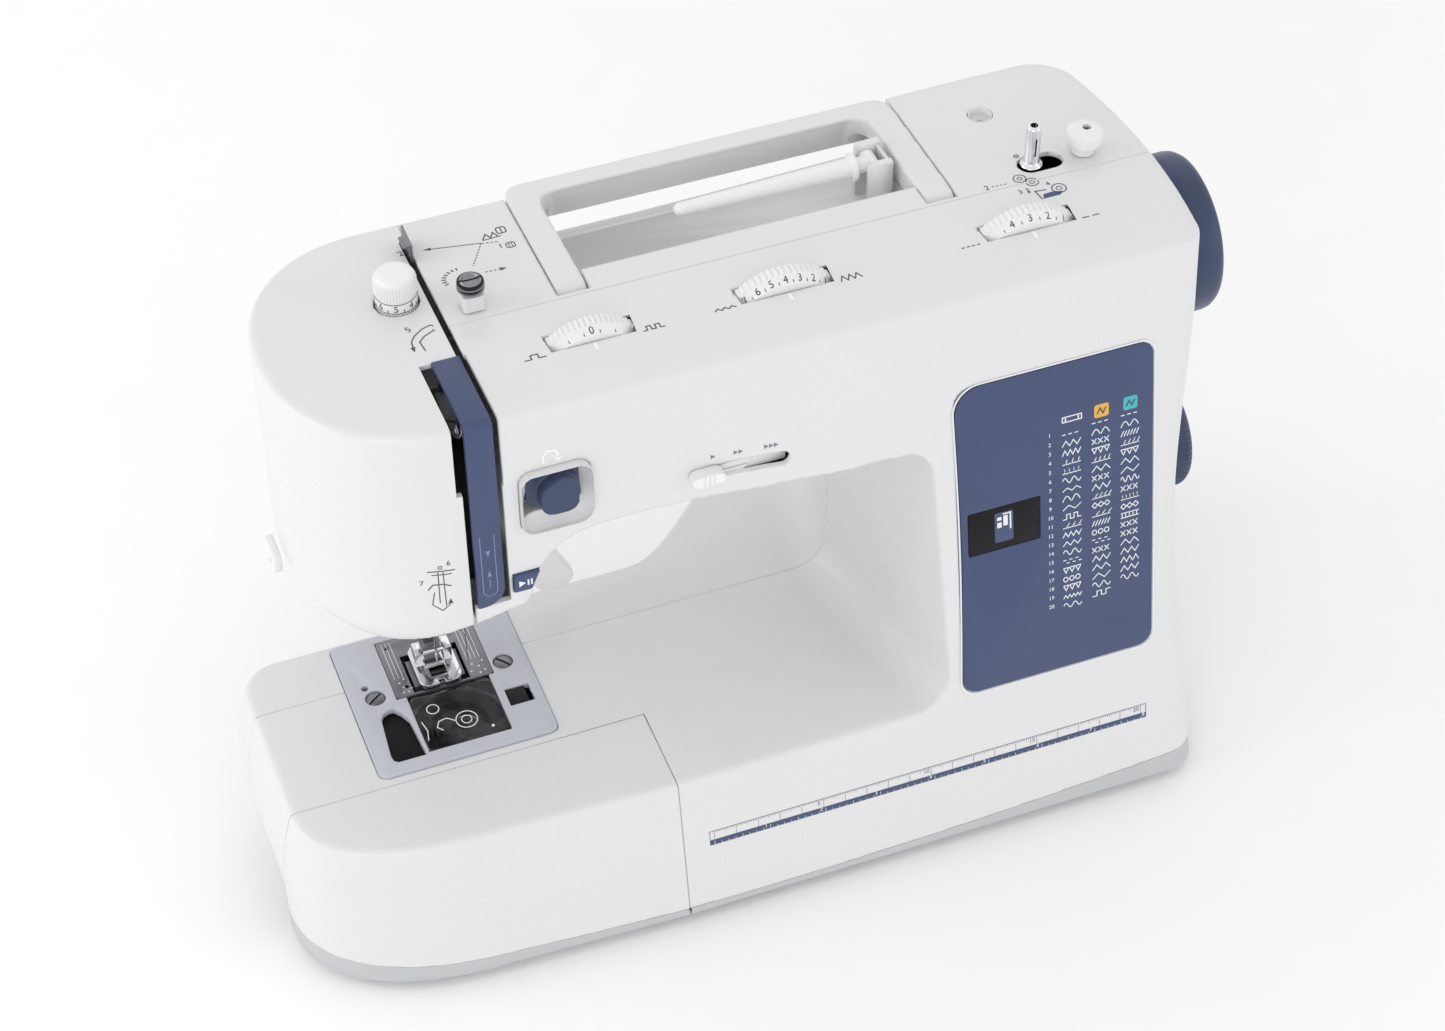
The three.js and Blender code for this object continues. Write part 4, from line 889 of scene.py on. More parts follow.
def make_winder():
    low, high = mm_box("winder_spindle")
    x, y = middle_of(low, high)
    seat = top_z(y)
    spindle = turned("spindle", "z", (x, y), [
        (2.0, low.z), (2.2, low.z + 0.3),
        *above(seat, [
            (2.2, -0.4), (4.6, -0.2), (4.7, 0.3), (4.4, 0.8), (3.5, 1.4), (3.2, 2), (3.1, 18.8),
            (2.9, 19.5), (2.5, 19.9),
        ]),
        (2.1, high.z),
    ])
    cut(spindle, bar("bore", "z", (x, y), 1.7, high.z - 7, high.z + 2),
        box("slit", x - 0.4, x + 0.4, y - 6, y, seat + 6, seat + 15))
    finished(spindle, "winder_spindle")
    eased("winder_carriage", 0.3, angle=30)


def make_winder_stop():
    low, high = mm_box("winder_stop")
    x, y = middle_of(low, high)
    seat = top_z(y) + 0.3
    stop = turned("stop", "z", (x, y), [
        (2.4, low.z), (2.6, low.z + 0.3),
        *above(seat, [
            (2.6, 0), (4.8, 0.1), (4.9, 0.5), (4.6, 3.6), (5, 4.2), (7, 4.6), (7.6, 5.3), (7.7, 6),
            (7.7, 9.6), (7.4, 10.4), (6.8, 10.8), (3, 11),
        ]),
    ])
    hole = (x + 1.4, y + 1.2)
    cut(stop, bar("hole", "z", hole, 1.9, seat + 7, seat + 14))
    finished(stop, "winder_stop")
    screw = cut(bar("stop_screw", "z", hole, 1.7, seat + 6.6, seat + 9.6),
                bar("hex", "z", hole, 0.8, seat + 8.4, seat + 12, 6))
    finished(screw, "winder_stop", "winder_stop_screw", "steel", replace=False)


def make_handwheel():
    low, high = mm_box("handwheel")
    centre = middle_of(low, high, "yz")
    face = high.x
    radius = (high.y - low.y) / 2
    inner = face - 17.4
    wheel = turned("handwheel", "x", centre, [
        (4.6, low.x), (4.6, inner), (28, inner), (31, inner + 0.4), (33.2, inner + 1.6),
        (radius - 0.3, inner + 4), (radius, inner + 6.5), (radius, face - 5), (radius - 0.4, face - 3),
        (radius - 1.5, face - 1.3), (radius - 3.2, face - 0.4), (radius - 5.2, face),
        (27.6, face - 0.4), (26.4, face - 1.6), (25.4, face - 2.6), (15, face - 3.4),
        (13.4, face - 3), (12.6, face - 1.6), (11.6, face - 1.1), (4, face - 1.0),
    ], 160)
    scoop = turned("scoop", "x", (centre[0] + 19.6, centre[1] + 6), [
        (1.5, face - 6.0), (4, face - 5.4), (5.6, face - 3.6), (6.2, face + 1),
    ], 64)
    finished(cut(wheel, scoop), "handwheel")


def make_pattern_selector():
    low, high = mm_box("pattern_selector")
    centre = middle_of(low, high, "yz")
    face = high.x
    base = face - 18.4
    rows = [
        (4, low.x, 0),
        *above(base, [
            (4, 0, 0), (24.6, 0, 0), (25.6, 0.5, 0), (26, 1.3, 0.6), (26, 13.6, 0.6), (25.5, 15, 0.5),
            (24.4, 16.4, 0.2), (22.6, 17.3, 0), (18, 17.9, 0), (8, 18.2, 0),
        ]),
        (2, face, 0),
    ]
    finished(knurled("selector", "x", centre, rows, 60), "pattern_selector")


# ---- Front controls -------------------------------------------------------------------------
def make_reverse_lever():
    """A dark plate inside the pocket with a raised paddle at its lower right."""
    low, high = mm_box("reverse_lever")
    backplate = prism("backplate", "xz", [
        *arc(high.x - 6, low.z + 5, 5, -80, 0, 8), *arc(high.x - 8, high.z - 6, 6, 0, 90, 8),
        *arc(low.x + 9, high.z - 9, 8, 90, 180, 8), *arc(low.x + 8, low.z + 9, 7, 180, 260, 8),
    ], low.y + 6.2, low.y + 8.6)
    paddle = prism("paddle", "xz", [
        *arc(high.x - 8.5, low.z + 7, 5, -85, 0, 8), *arc(high.x - 9.9, high.z - 7.4, 6.4, 0, 92, 10),
        *arc(low.x + 12.4, high.z - 10, 6.4, 120, 185, 8),
        *arc(low.x + 11.4, low.z + 7.4, 5.4, 190, 265, 8),
    ], low.y + 0.2, low.y + 7)
    arm = box("lever_arm", low.x + 4, low.x + 12, low.y + 8, high.y, 223.6, 230.4)
    finished(softened(joined(backplate, paddle, arm), 0.4, 9), "reverse_lever")
    # A white bowl fills the pocket round the lever, with a window behind the lever.
    x0, x1 = low.x - 1.7, high.x + 2.7
    z0, z1 = low.z - 7.8, high.z + 1.7
    bowl = prism("bowl", "xz", rounded_rectangle(x0, x1, z0, z1, 5.6), -49.2, -37.4)
    window = [
        (x0 + 1.4, z0 + 7), (high.x - 9, z0 + 6.4), (high.x - 1.6, z0 + 13), (high.x - 1.6, z1 - 6),
        *arc(x0 + 18, z1 - 18, 16.4, 80, 178, 12),
    ]
    cut(bowl, prism("window", "xz", window, -60, -30))
    scoop_rings = []
    for y, shrink in [(-60, -1.0), (-47.6, -0.6), (-45.5, 0.8), (-43.8, 2.8), (-43, 5.5)]:
        inset = 1 + shrink
        corner = max(5 - shrink, 1.5)
        ring = rounded_rectangle(x0 + inset, x1 - inset, z0 + inset, z1 - inset, corner)
        scoop_rings.append([(x, y, z) for x, z in ring])
    cut(bowl, loft("scoop", scoop_rings))
    finished(softened(bowl, 0.4, 4), "front_cover", "lever_bowl", replace=False)


def make_speed_controls():
    eased("start_stop_button", 0.5, 3, 30)
    low, high = mm_box("speed_slider")
    knob = softened(copy_of("speed_slider"), 0.3, 6)
    middle = (low.x + high.x) / 2
    for i in (-1, 0, 1):
        cut(knob, box("groove", middle + i * 2 - 0.35, middle + i * 2 + 0.35, low.y - 1, low.y + 0.45,
                      low.z - 1, high.z + 1))
    # The channel has a white floor just behind the knob.
    cut(knob, box("stem_end", low.x - 1, high.x + 1, CHANNEL_FLOOR_Y - 0.4, high.y + 1,
                  low.z - 1, high.z + 1))
    finished(knob, "speed_slider")
    floor = box("slider_floor", -31.5, 8.5, CHANNEL_FLOOR_Y, CHANNEL_FLOOR_Y + 1, low.z - 1.5,
                high.z + 1.5)
    finished(bevelled(floor, 0.2), "front_cover", "slider_channel", "casing_white", replace=False)


def make_guide_cover():
    """The blue cover follows the head's skin; beside it a black sheet behind the thread slot is painted
    shade for the dark inside of the head.
    """
    # Painted shade: a black L-shaped sheet behind the thread slot stands for the shade inside the
    # casing.
    channel = joined(
        box("shade_sheet_back", -127.4, -108.8, -34, -33, 178, 229),
        box("shade_sheet_floor", -127.4, -108.8, -33.5, -6, 228, 229),
    )
    finished(bevelled(channel, 0.2), "front_cover", "thread_shade_sheet", "black_plastic", replace=False)
    low, high = mm_box("thread_guide_cover")
    strip = cut(upper_form(-0.7, 100), upper_form(2, 90))
    common(strip, box("limits", low.x, high.x, -BEYOND_Y, high.y, low.z, 300))
    corner = 9
    outline = [(low.x - 1, low.z), *arc(high.x - corner, low.z + corner, corner, -90, 0, 16),
               (high.x, 300), (low.x - 1, 300)]
    common(strip, prism("corner", "xz", outline, -BEYOND_Y, BEYOND_Y))
    return finished(bevelled(strip, 0.45, 2, 40), "thread_guide_cover")


def panel_outline(low, high, inset=0.0):
    """The panel's outline: a large corner at the top left and a slightly bowed left side."""
    x0, x1 = low.x + inset, high.x - inset
    z0, z1 = low.z + 0.3 + inset, high.z - 0.1 - inset
    top, foot = z1 - 12, z0 + 8
    side = [
        (x0 + 1.2 * math.sin(math.pi * t), top + (foot - top) * t)
        for t in np.linspace(0.05, 0.95, 14)
    ]
    return [
        *arc(x1 - 6.5, z0 + 6.5, 6.5, -90, 0, 10),
        *arc(x1 - 6.5, z1 - 6.5, 6.5, 0, 90, 10),
        *arc(x0 + 12, top, 12, 90, 180, 12),
        *side,
        *arc(x0 + 8, foot, 8, 180, 270, 10),
    ]


def make_panel():
    low, high = mm_box("pattern_panel")
    angle = math.atan(COLUMN_LEAN)
    face_y = bed_front_y(0)

    def on_face(x, z, depth):
        """A point on the column's leaning face, depth into the casing."""
        along = z / math.cos(angle)
        return (x, face_y + along * math.sin(angle) + depth * math.cos(angle),
                along * math.cos(angle) - depth * math.sin(angle))

    def plate(name, outline, front, back):
        return loft(name, [[on_face(x, z, d) for x, z in outline] for d in (front, back)])

    outline = panel_outline(low, high)
    w_low, w_high = mm_box("display_window")
    hole = rounded_rectangle(w_low.x - 0.3, w_high.x + 0.3, w_low.z + 0.1, w_high.z + 0.1, 1)
    panel = cut(plate("panel", outline, -0.05, 1.25), plate("hole", hole, -2, 3))
    finished(bevelled(panel, 0.25, 2, 40), "pattern_panel")
    glass = rounded_rectangle(w_low.x, w_high.x, w_low.z + 0.4, w_high.z - 0.2, 0.8)
    pane = plate("pane", glass, 0.25, 1.2)
    finished(bevelled(pane, 0.2, 2, 40), "display_window")
    return on_face


def make_handle():
    finished(softened(copy_of("carry_handle"), 0.8, 5), "carry_handle")
    finished(softened(copy_of("spool_pin"), 0.35, 5), "spool_pin")


# ---- Needle area ----------------------------------------------------------------------------
def make_bars():
    for node in ("needle_bar", "presser_bar"):
        low, high = mm_box(node)
        centre = middle_of(low, high)
        radius = (high.x - low.x) / 2
        rod = turned(node, "z", centre, [
            (radius - 0.5, low.z), (radius, low.z + 0.5), (radius, high.z - 0.5), (radius - 0.5, high.z),
        ], 48)
        finished(rod, node)


def make_needle():
    low, high = mm_box("needle")
    centre = middle_of(low, high)
    needle = turned("needle", "z", centre, [
        (0.06, low.z), (0.3, low.z + 2), (0.45, low.z + 6), (0.45, low.z + 18.5),
        (1, low.z + 21), (1, high.z),
    ], 24)
    x, y = centre
    cut(needle, box("eye", x - 0.14, x + 0.14, y - 2, y + 2, low.z + 3.4, low.z + 5.6))
    finished(needle, "needle")


def make_head_fittings():
    for node, width in {
        "needle_clamp": 0.2, "foot_holder": 0.4, "presser_foot": 0.3,
        "take_up_lever": 0.3, "thread_cutter": 0.5, "lamp": 0.4,
    }.items():
        eased(node, width)
    eased("presser_lifter", 0.8, slot="control_white")


def make_plates():
    eased("needle_plate_cover", 0.4)
    plate = copy_of("stitch_plate")
    low, high = mm_box("stitch_plate")
    for x, y in [(-141.5, 9.5), (-143.5, 33.5), (-110.5, 33.5)]:
        cut(plate, bar("hole", "z", (x, y), 0.9, low.z - 1, high.z + 1, 24))
    finished(bevelled(plate, 0.15, 2, 35), "stitch_plate")
    for side in ("left", "right"):
        node = f"plate_screw_{side}"
        low, high = mm_box(node)
        centre = middle_of(low, high)
        seat = high.z - 2.6
        screw = turned(node, "z", centre, [
            (1.6, low.z), (1.8, low.z + 0.3), (1.8, seat), (4.0, seat), (4.2, seat + 0.3),
            (4.2, seat + 1.5), (3.8, seat + 2.1), (2.8, seat + 2.45), (1, high.z),
        ], 64)
        slot = box("slot", -5, 5, -0.55, 0.55, seat + 1.3, seat + 6)
        slot.data.transform(Matrix.Rotation(math.radians(35 if side == "left" else -50), 4, "Z"))
        slot.data.transform(Matrix.Translation(Vector((*centre, 0)) * MM))
        finished(cut(screw, slot), node, slot="steel")


def make_bobbin_cover():
    low, high = mm_box("bobbin_cover")
    lid = prism("lid", "xy", rounded_rectangle(low.x, high.x, low.y, high.y, 2.4), low.z, high.z)
    centre = ((low.x + high.x) / 2 + 1, low.y + 9)
    cut(lid, bar("groove", "z", centre, 5.2, high.z - 0.6, high.z + 1))
    joined(lid, bar("boss", "z", centre, 2.6, high.z - 1.2, high.z - 0.1))
    finished(bevelled(lid, 0.3, 2, 35), "bobbin_cover")
    eased("bobbin_cover_latch", 0.5, 3, 30)
    eased("feed_dog", 0.1, 1)


def make_hook_and_bobbin():
    low, high = mm_box("bobbin_case")
    centre = middle_of(low, high)
    case = turned("case", "z", centre, [
        (1.5, low.z), (18, low.z), (18.2, low.z + 1), (18.2, high.z - 0.8), (17.4, high.z - 0.1),
        (16.5, high.z), (12.2, high.z), (12, high.z - 0.3), (12, low.z + 1.8), (1.5, low.z + 1.8),
    ])
    finished(case, "bobbin_case")
    low, high = mm_box("hook_race")
    race = turned("race", "z", centre, [
        (3, low.z), (3, low.z + 13.5), (19, low.z + 13.5), (21.2, low.z + 15.5), (21.2, high.z - 0.5),
        (20.7, high.z), (19.2, high.z), (18.8, high.z - 0.5), (18.8, low.z + 16.5), (2, low.z + 16.5),
    ])
    finished(race, "hook_race")
    low, high = mm_box("bobbin")
    top, bottom = high.z, low.z
    bobbin = turned("bobbin", "z", centre, [
        (3.4, bottom), (10.3, bottom), (10.6, bottom + 0.2), (10.6, bottom + 0.9), (10.3, bottom + 1.1),
        (4.8, bottom + 1.2), (4.8, top - 1.2), (10.3, top - 1.1), (10.6, top - 0.9), (10.6, top - 0.2),
        (10.3, top), (3.4, top),
    ])
    cut(bobbin, bar("bore", "z", centre, 3.2, bottom - 1, top + 1))
    finished(bobbin, "bobbin")


# ---- Underside and back ---------------------------------------------------------------------
def make_feet():
    for corner in ("front_left", "front_right", "rear_left", "rear_right"):
        node = f"foot_{corner}"
        low, high = mm_box(node)
        centre = middle_of(low, high)
        foot = turned(node, "z", centre, [
            (3, 0.9), (4, 0.9), (4.6, 0.05), (7.6, 0), (8.5, 0.4), (9, 1.2), (9, high.z),
        ], 64)
        finished(foot, node)


def make_base_fittings():
    for node, width in {"arm_under_cover": 0.5, "power_inlet": 0.6, "power_switch": 0.8}.items():
        eased(node, width)
    low, high = mm_box("power_inlet")
    y, z = middle_of(low, high, "yz")
    for side, i in (("front", -1), ("back", 1)):
        pin = bar(f"pin_{i}", "x", (y + i * 4.6, z), 1.2, low.x + 9.5, high.x - 4, 32)
        finished(pin, "power_inlet", f"inlet_pin_{side}", "steel", replace=False)


# ---- Printed marks --------------------------------------------------------------------------
def zigzag(count, height=1.0):
    """Straight strokes up and down across a unit cell."""
    return [(i / count, height * (i % 2 - 0.5)) for i in range(count + 1)]


def wave(count, height=1.0):
    turns = 2 * math.pi * count
    return [(t, height * 0.5 * math.sin(turns * t)) for t in np.linspace(0, 1, 10 * count + 1)]


def comb(count, slant=0.0):
    """A line with teeth that stand on it."""
    line = [(0, -0.4)]
    for i in range(count):
        u = (i + 0.5) / count
        line += [(u, -0.4), (u + slant, 0.5), (u, -0.4)]
    return line + [(1, -0.4)]


def steps(count):
    """A square wave."""
    line = []
    for i in range(count):
        v = 0.45 if i % 2 else -0.45
        line += [(i / count, v), ((i + 1) / count, v)]
    return line


def repeated(cell, count, gap=0.25):
    """Separate copies of a short line side by side."""
    width = 1 / count
    return [[((i + u * (1 - gap)) * width, v) for u, v in cell] for i in range(count)]


def circle(height=0.9, points=12):
    angles = np.linspace(0, 2 * math.pi, points)
    return [(0.5 + 0.5 * math.cos(a), 0.5 * height * math.sin(a)) for a in angles]


DASHES = repeated([(0, 0), (1, 0)], 3, 0.4)
CROSSES = repeated([(0, -0.5), (1, 0.5)], 3) + repeated([(0, 0.5), (1, -0.5)], 3)
RINGS = repeated(circle(), 3)
SLANTS = repeated([(0, -0.5), (1, 0.5)], 6, 0.1)
LADDER = [[(0, 0.45), (1, 0.45)], [(0, -0.45), (1, -0.45)], *repeated([(0.5, -0.45), (0.5, 0.45)], 5)]
ARCHES = repeated([(t, math.sin(math.pi * t) - 0.5) for t in np.linspace(0, 1, 7)], 2, 0.1)
DIAMONDS = repeated([(0, 0), (0.5, 0.5), (1, 0), (0.5, -0.5), (0, 0)], 3, 0.1)
CHECKERS = repeated([(0, 0.3), (1, 0.3)], 3, 0.5) + [
    [(u + 0.17, v - 0.6) for u, v in line] for line in repeated([(0, 0.3), (1, 0.3)], 3, 0.5)
]
TRIANGLES = repeated([(0, 0.5), (1, 0.5), (0.5, -0.5), (0, 0.5)], 3, 0.15)

STITCHES = [
    [
        DASHES, [zigzag(5)], [zigzag(7)], [comb(3, 0.1)], [comb(4)], [wave(2)], [zigzag(4, 0.6)], ARCHES,
        [zigzag(3, 0.8)], [steps(5)], [comb(3, 0.2)], [zigzag(7, 0.9)], [zigzag(5, 0.8)], [wave(2)],
        CHECKERS, TRIANGLES, RINGS, TRIANGLES, [zigzag(9, 0.6)], [wave(2, 0.9)],
    ],
    [
        DASHES, ARCHES, CROSSES, TRIANGLES, [comb(4, 0.12)], [zigzag(4)], CROSSES, [zigzag(5)],
        [comb(4, 0.2)], DIAMONDS, [comb(3, 0.25)], SLANTS, RINGS, CHECKERS, CROSSES, [zigzag(5)],
        [zigzag(4)], [zigzag(3)], [wave(2)], [steps(4)],
    ],
    [
        DASHES, ARCHES, SLANTS, [comb(4, 0.15)], TRIANGLES, [zigzag(4)], [zigzag(3)], [wave(3)],
        CROSSES, [comb(5)], DIAMONDS, LADDER, CROSSES, CROSSES, [zigzag(4)], [zigzag(5)],
        [zigzag(6)], [zigzag(5)], [wave(2)],
    ],
]


def lay(marks, view, ink, name, body="machine", rise=0.05):
    """Prints marks on the covers; each kind of ink is one piece."""
    return marks.laid(name, printed_from(casing, view, rise), INKS[ink], "black_plastic", body)


def on_panel(on_face, rise):
    """A place function: (u, v) on the panel's face, standing out by rise."""
    return lambda u, v, w: on_face(u, v, -rise - w)


def print_stitch_chart(on_face):
    first, last = 198.0, 112.5  # heights of the first and the last row
    pitch = (first - last) / 19
    white = Ink()
    for row in range(20):
        white.number(row + 1, 119.8, first - pitch * row, 1.9)
    for column, (u0, u1) in enumerate([(125.4, 133.8), (138.8, 147.2), (152.0, 160.4)]):
        for row, lines in enumerate(STITCHES[column]):
            v = first - 1.4 - pitch * row if column == 0 else first + 0.4 - pitch * row
            for line in lines:
                white.stroke([(u0 + (u1 - u0) * a, v + 2.6 * b) for a, b in line], 0.42)
    white.stroke([(125.6, 202.6), (134.2, 202.6), (134.2, 205), (125.6, 205)], 0.5, closed=True)
    white.stroke([(127, 202.6), (127, 205)], 0.6)
    white.stroke([(132.8, 202.6), (132.8, 205)], 0.6)
    white.area([(98.4, 160.5), (100.4, 160.5), (100.4, 165.5), (98.4, 165.5)])
    white.area([(95.6, 160.0), (97.6, 160.0), (97.6, 162.6), (95.6, 162.6)])
    white.area([(95.6, 163.6), (97.6, 163.6), (97.6, 165.2), (95.6, 165.2)])
    white.stroke([(101.6, 158.4), (101.6, 166.4), (98.2, 166.4)], 0.7)
    place = on_panel(on_face, 0.1)
    white.laid("panel_symbols", place, INKS["ink_white"], "casing_white", "machine")


def print_badges(on_face):
    badges = [("yellow_badge", "ink_yellow", 139.9, 146.5), ("cyan_badge", "ink_cyan", 153.1, 159.5)]
    for name, ink, u0, u1 in badges:
        badge = Ink()
        badge.area(rounded_rectangle(u0, u1, 200.6, 206.8, 1.1, 5))
        place = on_panel(on_face, 0.1)
        badge.laid(name, place, INKS[ink], "casing_white", "machine")
        glyph = Ink()
        glyph.stroke([(u0 + 1.3 + (u1 - u0 - 2.6) * a, 203.7 + 2.6 * b) for a, b in zigzag(3)], 0.6)
        place = on_panel(on_face, 0.2)
        glyph.laid(f"{name}_symbol", place, INKS["ink_blue"], "panel_blue", "machine")


def print_panel_edges(on_face):
    """A glow inside the window's pane, and a thin pale line round the panel."""
    glow = Ink()
    glow.area(rounded_rectangle(94.6, 103.0, 152.6, 167.2, 0.8, 3))
    pane = on_panel(on_face, -0.2)
    glow.laid("window_glow", pane, INKS["ink_blue"], "panel_blue", "machine")
    low, high = mm_box("pattern_panel")
    border = Ink()
    border.stroke(panel_outline(low, high, -0.9), 0.7, closed=True)
    place = on_panel(on_face, 0.05)
    border.laid("panel_border", place, INKS["ink_white"], "casing_white", "machine")


def print_rule():
    """A rule along the foot of the base's front: centimetres above, inches below."""
    u0, u1, v0, v1, split = -40, 164.5, 39, 46.2, 41.6
    white = Ink()
    white.stroke([(u, v1) for u in np.linspace(u0, u1, 50)], 0.3)
    white.stroke([(u, v0) for u in np.linspace(u0, u1, 50)], 0.3)
    white.stroke([(u0, v0), (u0, v1)], 0.3)
    white.stroke([(u1, v0), (u1, v1)], 0.3)
    zero = u0 + 2
    for i in range(201):
        u = zero + i
        tall = v1 - split if i % 10 == 0 else 1.7 if i % 5 == 0 else 1
        white.stroke([(u, v1), (u, v1 - tall)], 0.18)
        if i and i % 50 == 0:
            white.number(i // 10, u - 2.2, v1 - 2.0, 2.0)
    lay(white, "front", "ink_soft", "rule_scale")
    band = Ink()
    length = u1 - u0
    edge = [u0 + length * t for t in np.linspace(0, 1, 60)]
    band.slab([(u, split) for u in edge], [(u, v0 + 0.2) for u in edge])
    lay(band, "front", "ink_blue", "rule_inch_band")
    marks = Ink()
    for i in range(8 * 8 + 1):
        u = zero + 25.4 * i / 8
        tall = 1.8 if i % 8 == 0 else 1.2 if i % 4 == 0 else 0.7
        marks.stroke([(u, v0 + 0.2), (u, v0 + 0.2 + tall)], 0.2)
        if i and i % 8 == 0:
            marks.number(i // 8, u - 2.0, v0 + 1.8, 1.9)
    lay(marks, "front", "ink_white", "rule_inch_marks", rise=0.14)


def arrow(ink, tail, tip, width=0.4, head=1.6):
    """A line with a filled head."""
    tail, tip = Vector(tail), Vector(tip)
    along = (tip - tail).normalized()
    side = Vector((-along.y, along.x))
    ink.stroke([tail, tip - along * head], width)
    base = tip - along * head
    half = side * head * 0.45
    ink.area([tuple(tip), tuple(base + half), tuple(base - half)])


def dotted(ink, start, end, width=0.4, dash=1.0, gap=0.8):
    start, end = Vector(start), Vector(end)
    far = (end - start).length
    along = (end - start) / far
    place = 0
    while place < far:
        ink.stroke([start + along * place, start + along * min(place + dash, far)], width)
        place += dash + gap


def draw_threading_steps(grey_ink):
    # Threading steps beside the guide cover.
    grey_ink.number(5, -124.2, 20.2, 3.2, 20)
    grey_ink.stroke([(-125.6, 8.4), (-125.2, 12.4), (-123, 15.6), (-119, 18.6), (-115.4, 19.9),
                     (-114.2, 19)], 0.5)
    grey_ink.area([(-126.6, 9), (-124.6, 9), (-125.7, 5.9)])
    grey_ink.stroke([(-121.6, 5.2), (-122.2, 11.2), (-119.4, 14), (-114.6, 16.4)], 0.5)
    grey_ink.area([(-115, 17.6), (-114.4, 15.2), (-111, 16.6)])
    grey_ink.number(2, -112.9, 68.2, 3.4, 10)
    # Threading line from the spool to the guides.
    grey_ink.stroke([(-80.8, 62.6), (-100.8, 66.6)], 0.35)
    grey_ink.area([(-100.6, 67.6), (-100.9, 65.8), (-103.9, 67.1)])
    dotted(grey_ink, (-80.8, 62.4), (-88.2, 49.6))
    dotted(grey_ink, (-80.6, 62.3), (-73.8, 61))
    dotted(grey_ink, (-85, 43.8), (-78.8, 43.5))
    grey_ink.area([(-78.8, 44.6), (-78.8, 42.4), (-76.2, 43.5)])
    grey_ink.number(1, -74, 57.8, 3)
    grey_ink.stroke(rounded_rectangle(-71.8, -68.2, 55.4, 58.8, 0.9, 3), 0.4, closed=True)
    grey_ink.stroke([(-70.6, 55.4), (-70.6, 58.8)], 0.3)
    grey_ink.stroke([(-69.4, 55.4), (-69.4, 58.8)], 0.3)
    # Two bold thread passages drawn as slanted bars.
    grey_ink.stroke([(-79.6, 64), (-77.6, 67.6), (-76, 64.6), (-74.4, 67.8), (-73, 64.6)], 0.5)
    grey_ink.stroke([(-79.6, 64), (-71.6, 64.4)], 0.4)
    grey_ink.stroke(rounded_rectangle(-72.6, -68.8, 66, 70, 1, 3), 0.5, closed=True)
    grey_ink.stroke([(-70.7, 66), (-70.7, 70)], 0.4)
    # Tension scale: short strokes on an arc behind the guide post.
    for angle in range(95, 215, 15):
        a = math.radians(angle)
        inner, outer = 6.6, 8.4
        grey_ink.stroke([(-94.5 + inner * math.cos(a), 44 + 0.8 * inner * math.sin(a)),
                         (-94.5 + outer * math.cos(a), 44 + 0.8 * outer * math.sin(a))], 0.6)


def draw_dial_symbols(grey_ink):
    for name, left, right in DIAL_SYMBOLS:
        start, end = dial_window(name)
        for lines, u0 in ((left, start - 13), (right, end + 4)):
            for line in lines:
                grey_ink.stroke([(u0 + 9 * a, -14.4 + 2.8 * b) for a, b in line], 0.5)


def draw_winding_diagram(grey_ink):
    """The diagram in front of the winder."""
    grey_ink.number(2, 122.4, 18.8, 3)
    dotted(grey_ink, (124.6, 18.8), (131.4, 18.3))
    for u, v in ((137.4, 19.6), (141.2, 15.6)):
        grey_ink.ring(u, v, 2.6, 0.4)
        grey_ink.ring(u, v, 1.0, 0.35)
    grey_ink.ring(149.6, 7.6, 3.0, 0.45)
    grey_ink.ring(149.6, 7.6, 1.2, 0.35)
    arrow(grey_ink, (137.2, 12.6), (137.2, 8.6), 0.5)
    grey_ink.stroke([(140.2, 3.2), (139.6, 9.2), (144.4, 8.6)], 0.5)
    grey_ink.number(3, 134, 11, 2.6)
    grey_ink.number(4, 146.6, 12, 2.6)
    for u in (142.6, 152.2):
        grey_ink.ring(u, 34.4, 1.0, 0.35)
        grey_ink.stroke([(u - 1, 34.4), (u + 1, 34.4)], 0.3)


def print_top():
    grey_ink = Ink()
    draw_threading_steps(grey_ink)
    draw_dial_symbols(grey_ink)
    draw_winding_diagram(grey_ink)
    lay(grey_ink, "top", "ink_grey", "top_diagrams")
    blue = Ink()
    blue.area([(140.8, 3.4), (148.4, 3.4), (150.2, 5.2), (146.4, 6.4), (142, 6.2)])
    lay(blue, "top", "ink_blue", "winding_diagram_fill")
    white = Ink()
    for name in DIAL_MARKS:
        low, high = mm_box(name)
        middle = (low.x + high.x) / 2
        left, right = middle - 0.7, middle + 0.7
        white.area([(left, -19.4), (right, -19.4), (right, -15.2), (left, -15.2)])
    lay(white, "top", "ink_pale", "dial_index_marks")


def dial_window(name):
    """Where a dial's rim passes through the top, left and right."""
    low, high = mm_box(name)
    radius = (high.x - low.x) / 2
    middle = (low.x + high.x) / 2
    rise = high.z - top_z(-9)
    half = math.sqrt(radius ** 2 - (radius - rise) ** 2)
    return middle - half, middle + half


DIAL_SYMBOLS = [
    ("balance_dial", [steps(3)], [steps(5)]),
    ("stitch_width_dial", [zigzag(6, 0.5)], [zigzag(6, 1.2)]),
    ("stitch_length_dial", repeated([(0, 0), (1, 0)], 4, 0.4), repeated([(0, 0), (1, 0)], 2, 0.3)),
]


def print_speed_marks():
    """One, two and three arrow heads above the slider."""
    soft = Ink()
    for u, count in ((-22.6, 1), (-12.3, 2), (1.2, 3)):
        for i in range(count):
            x = u + 2.0 * (i - (count - 1) / 2)
            soft.area([(x - 0.9, 223.9), (x + 0.9, 225), (x - 0.9, 226.1)])
    lay(soft, "front", "ink_soft", "speed_marks")


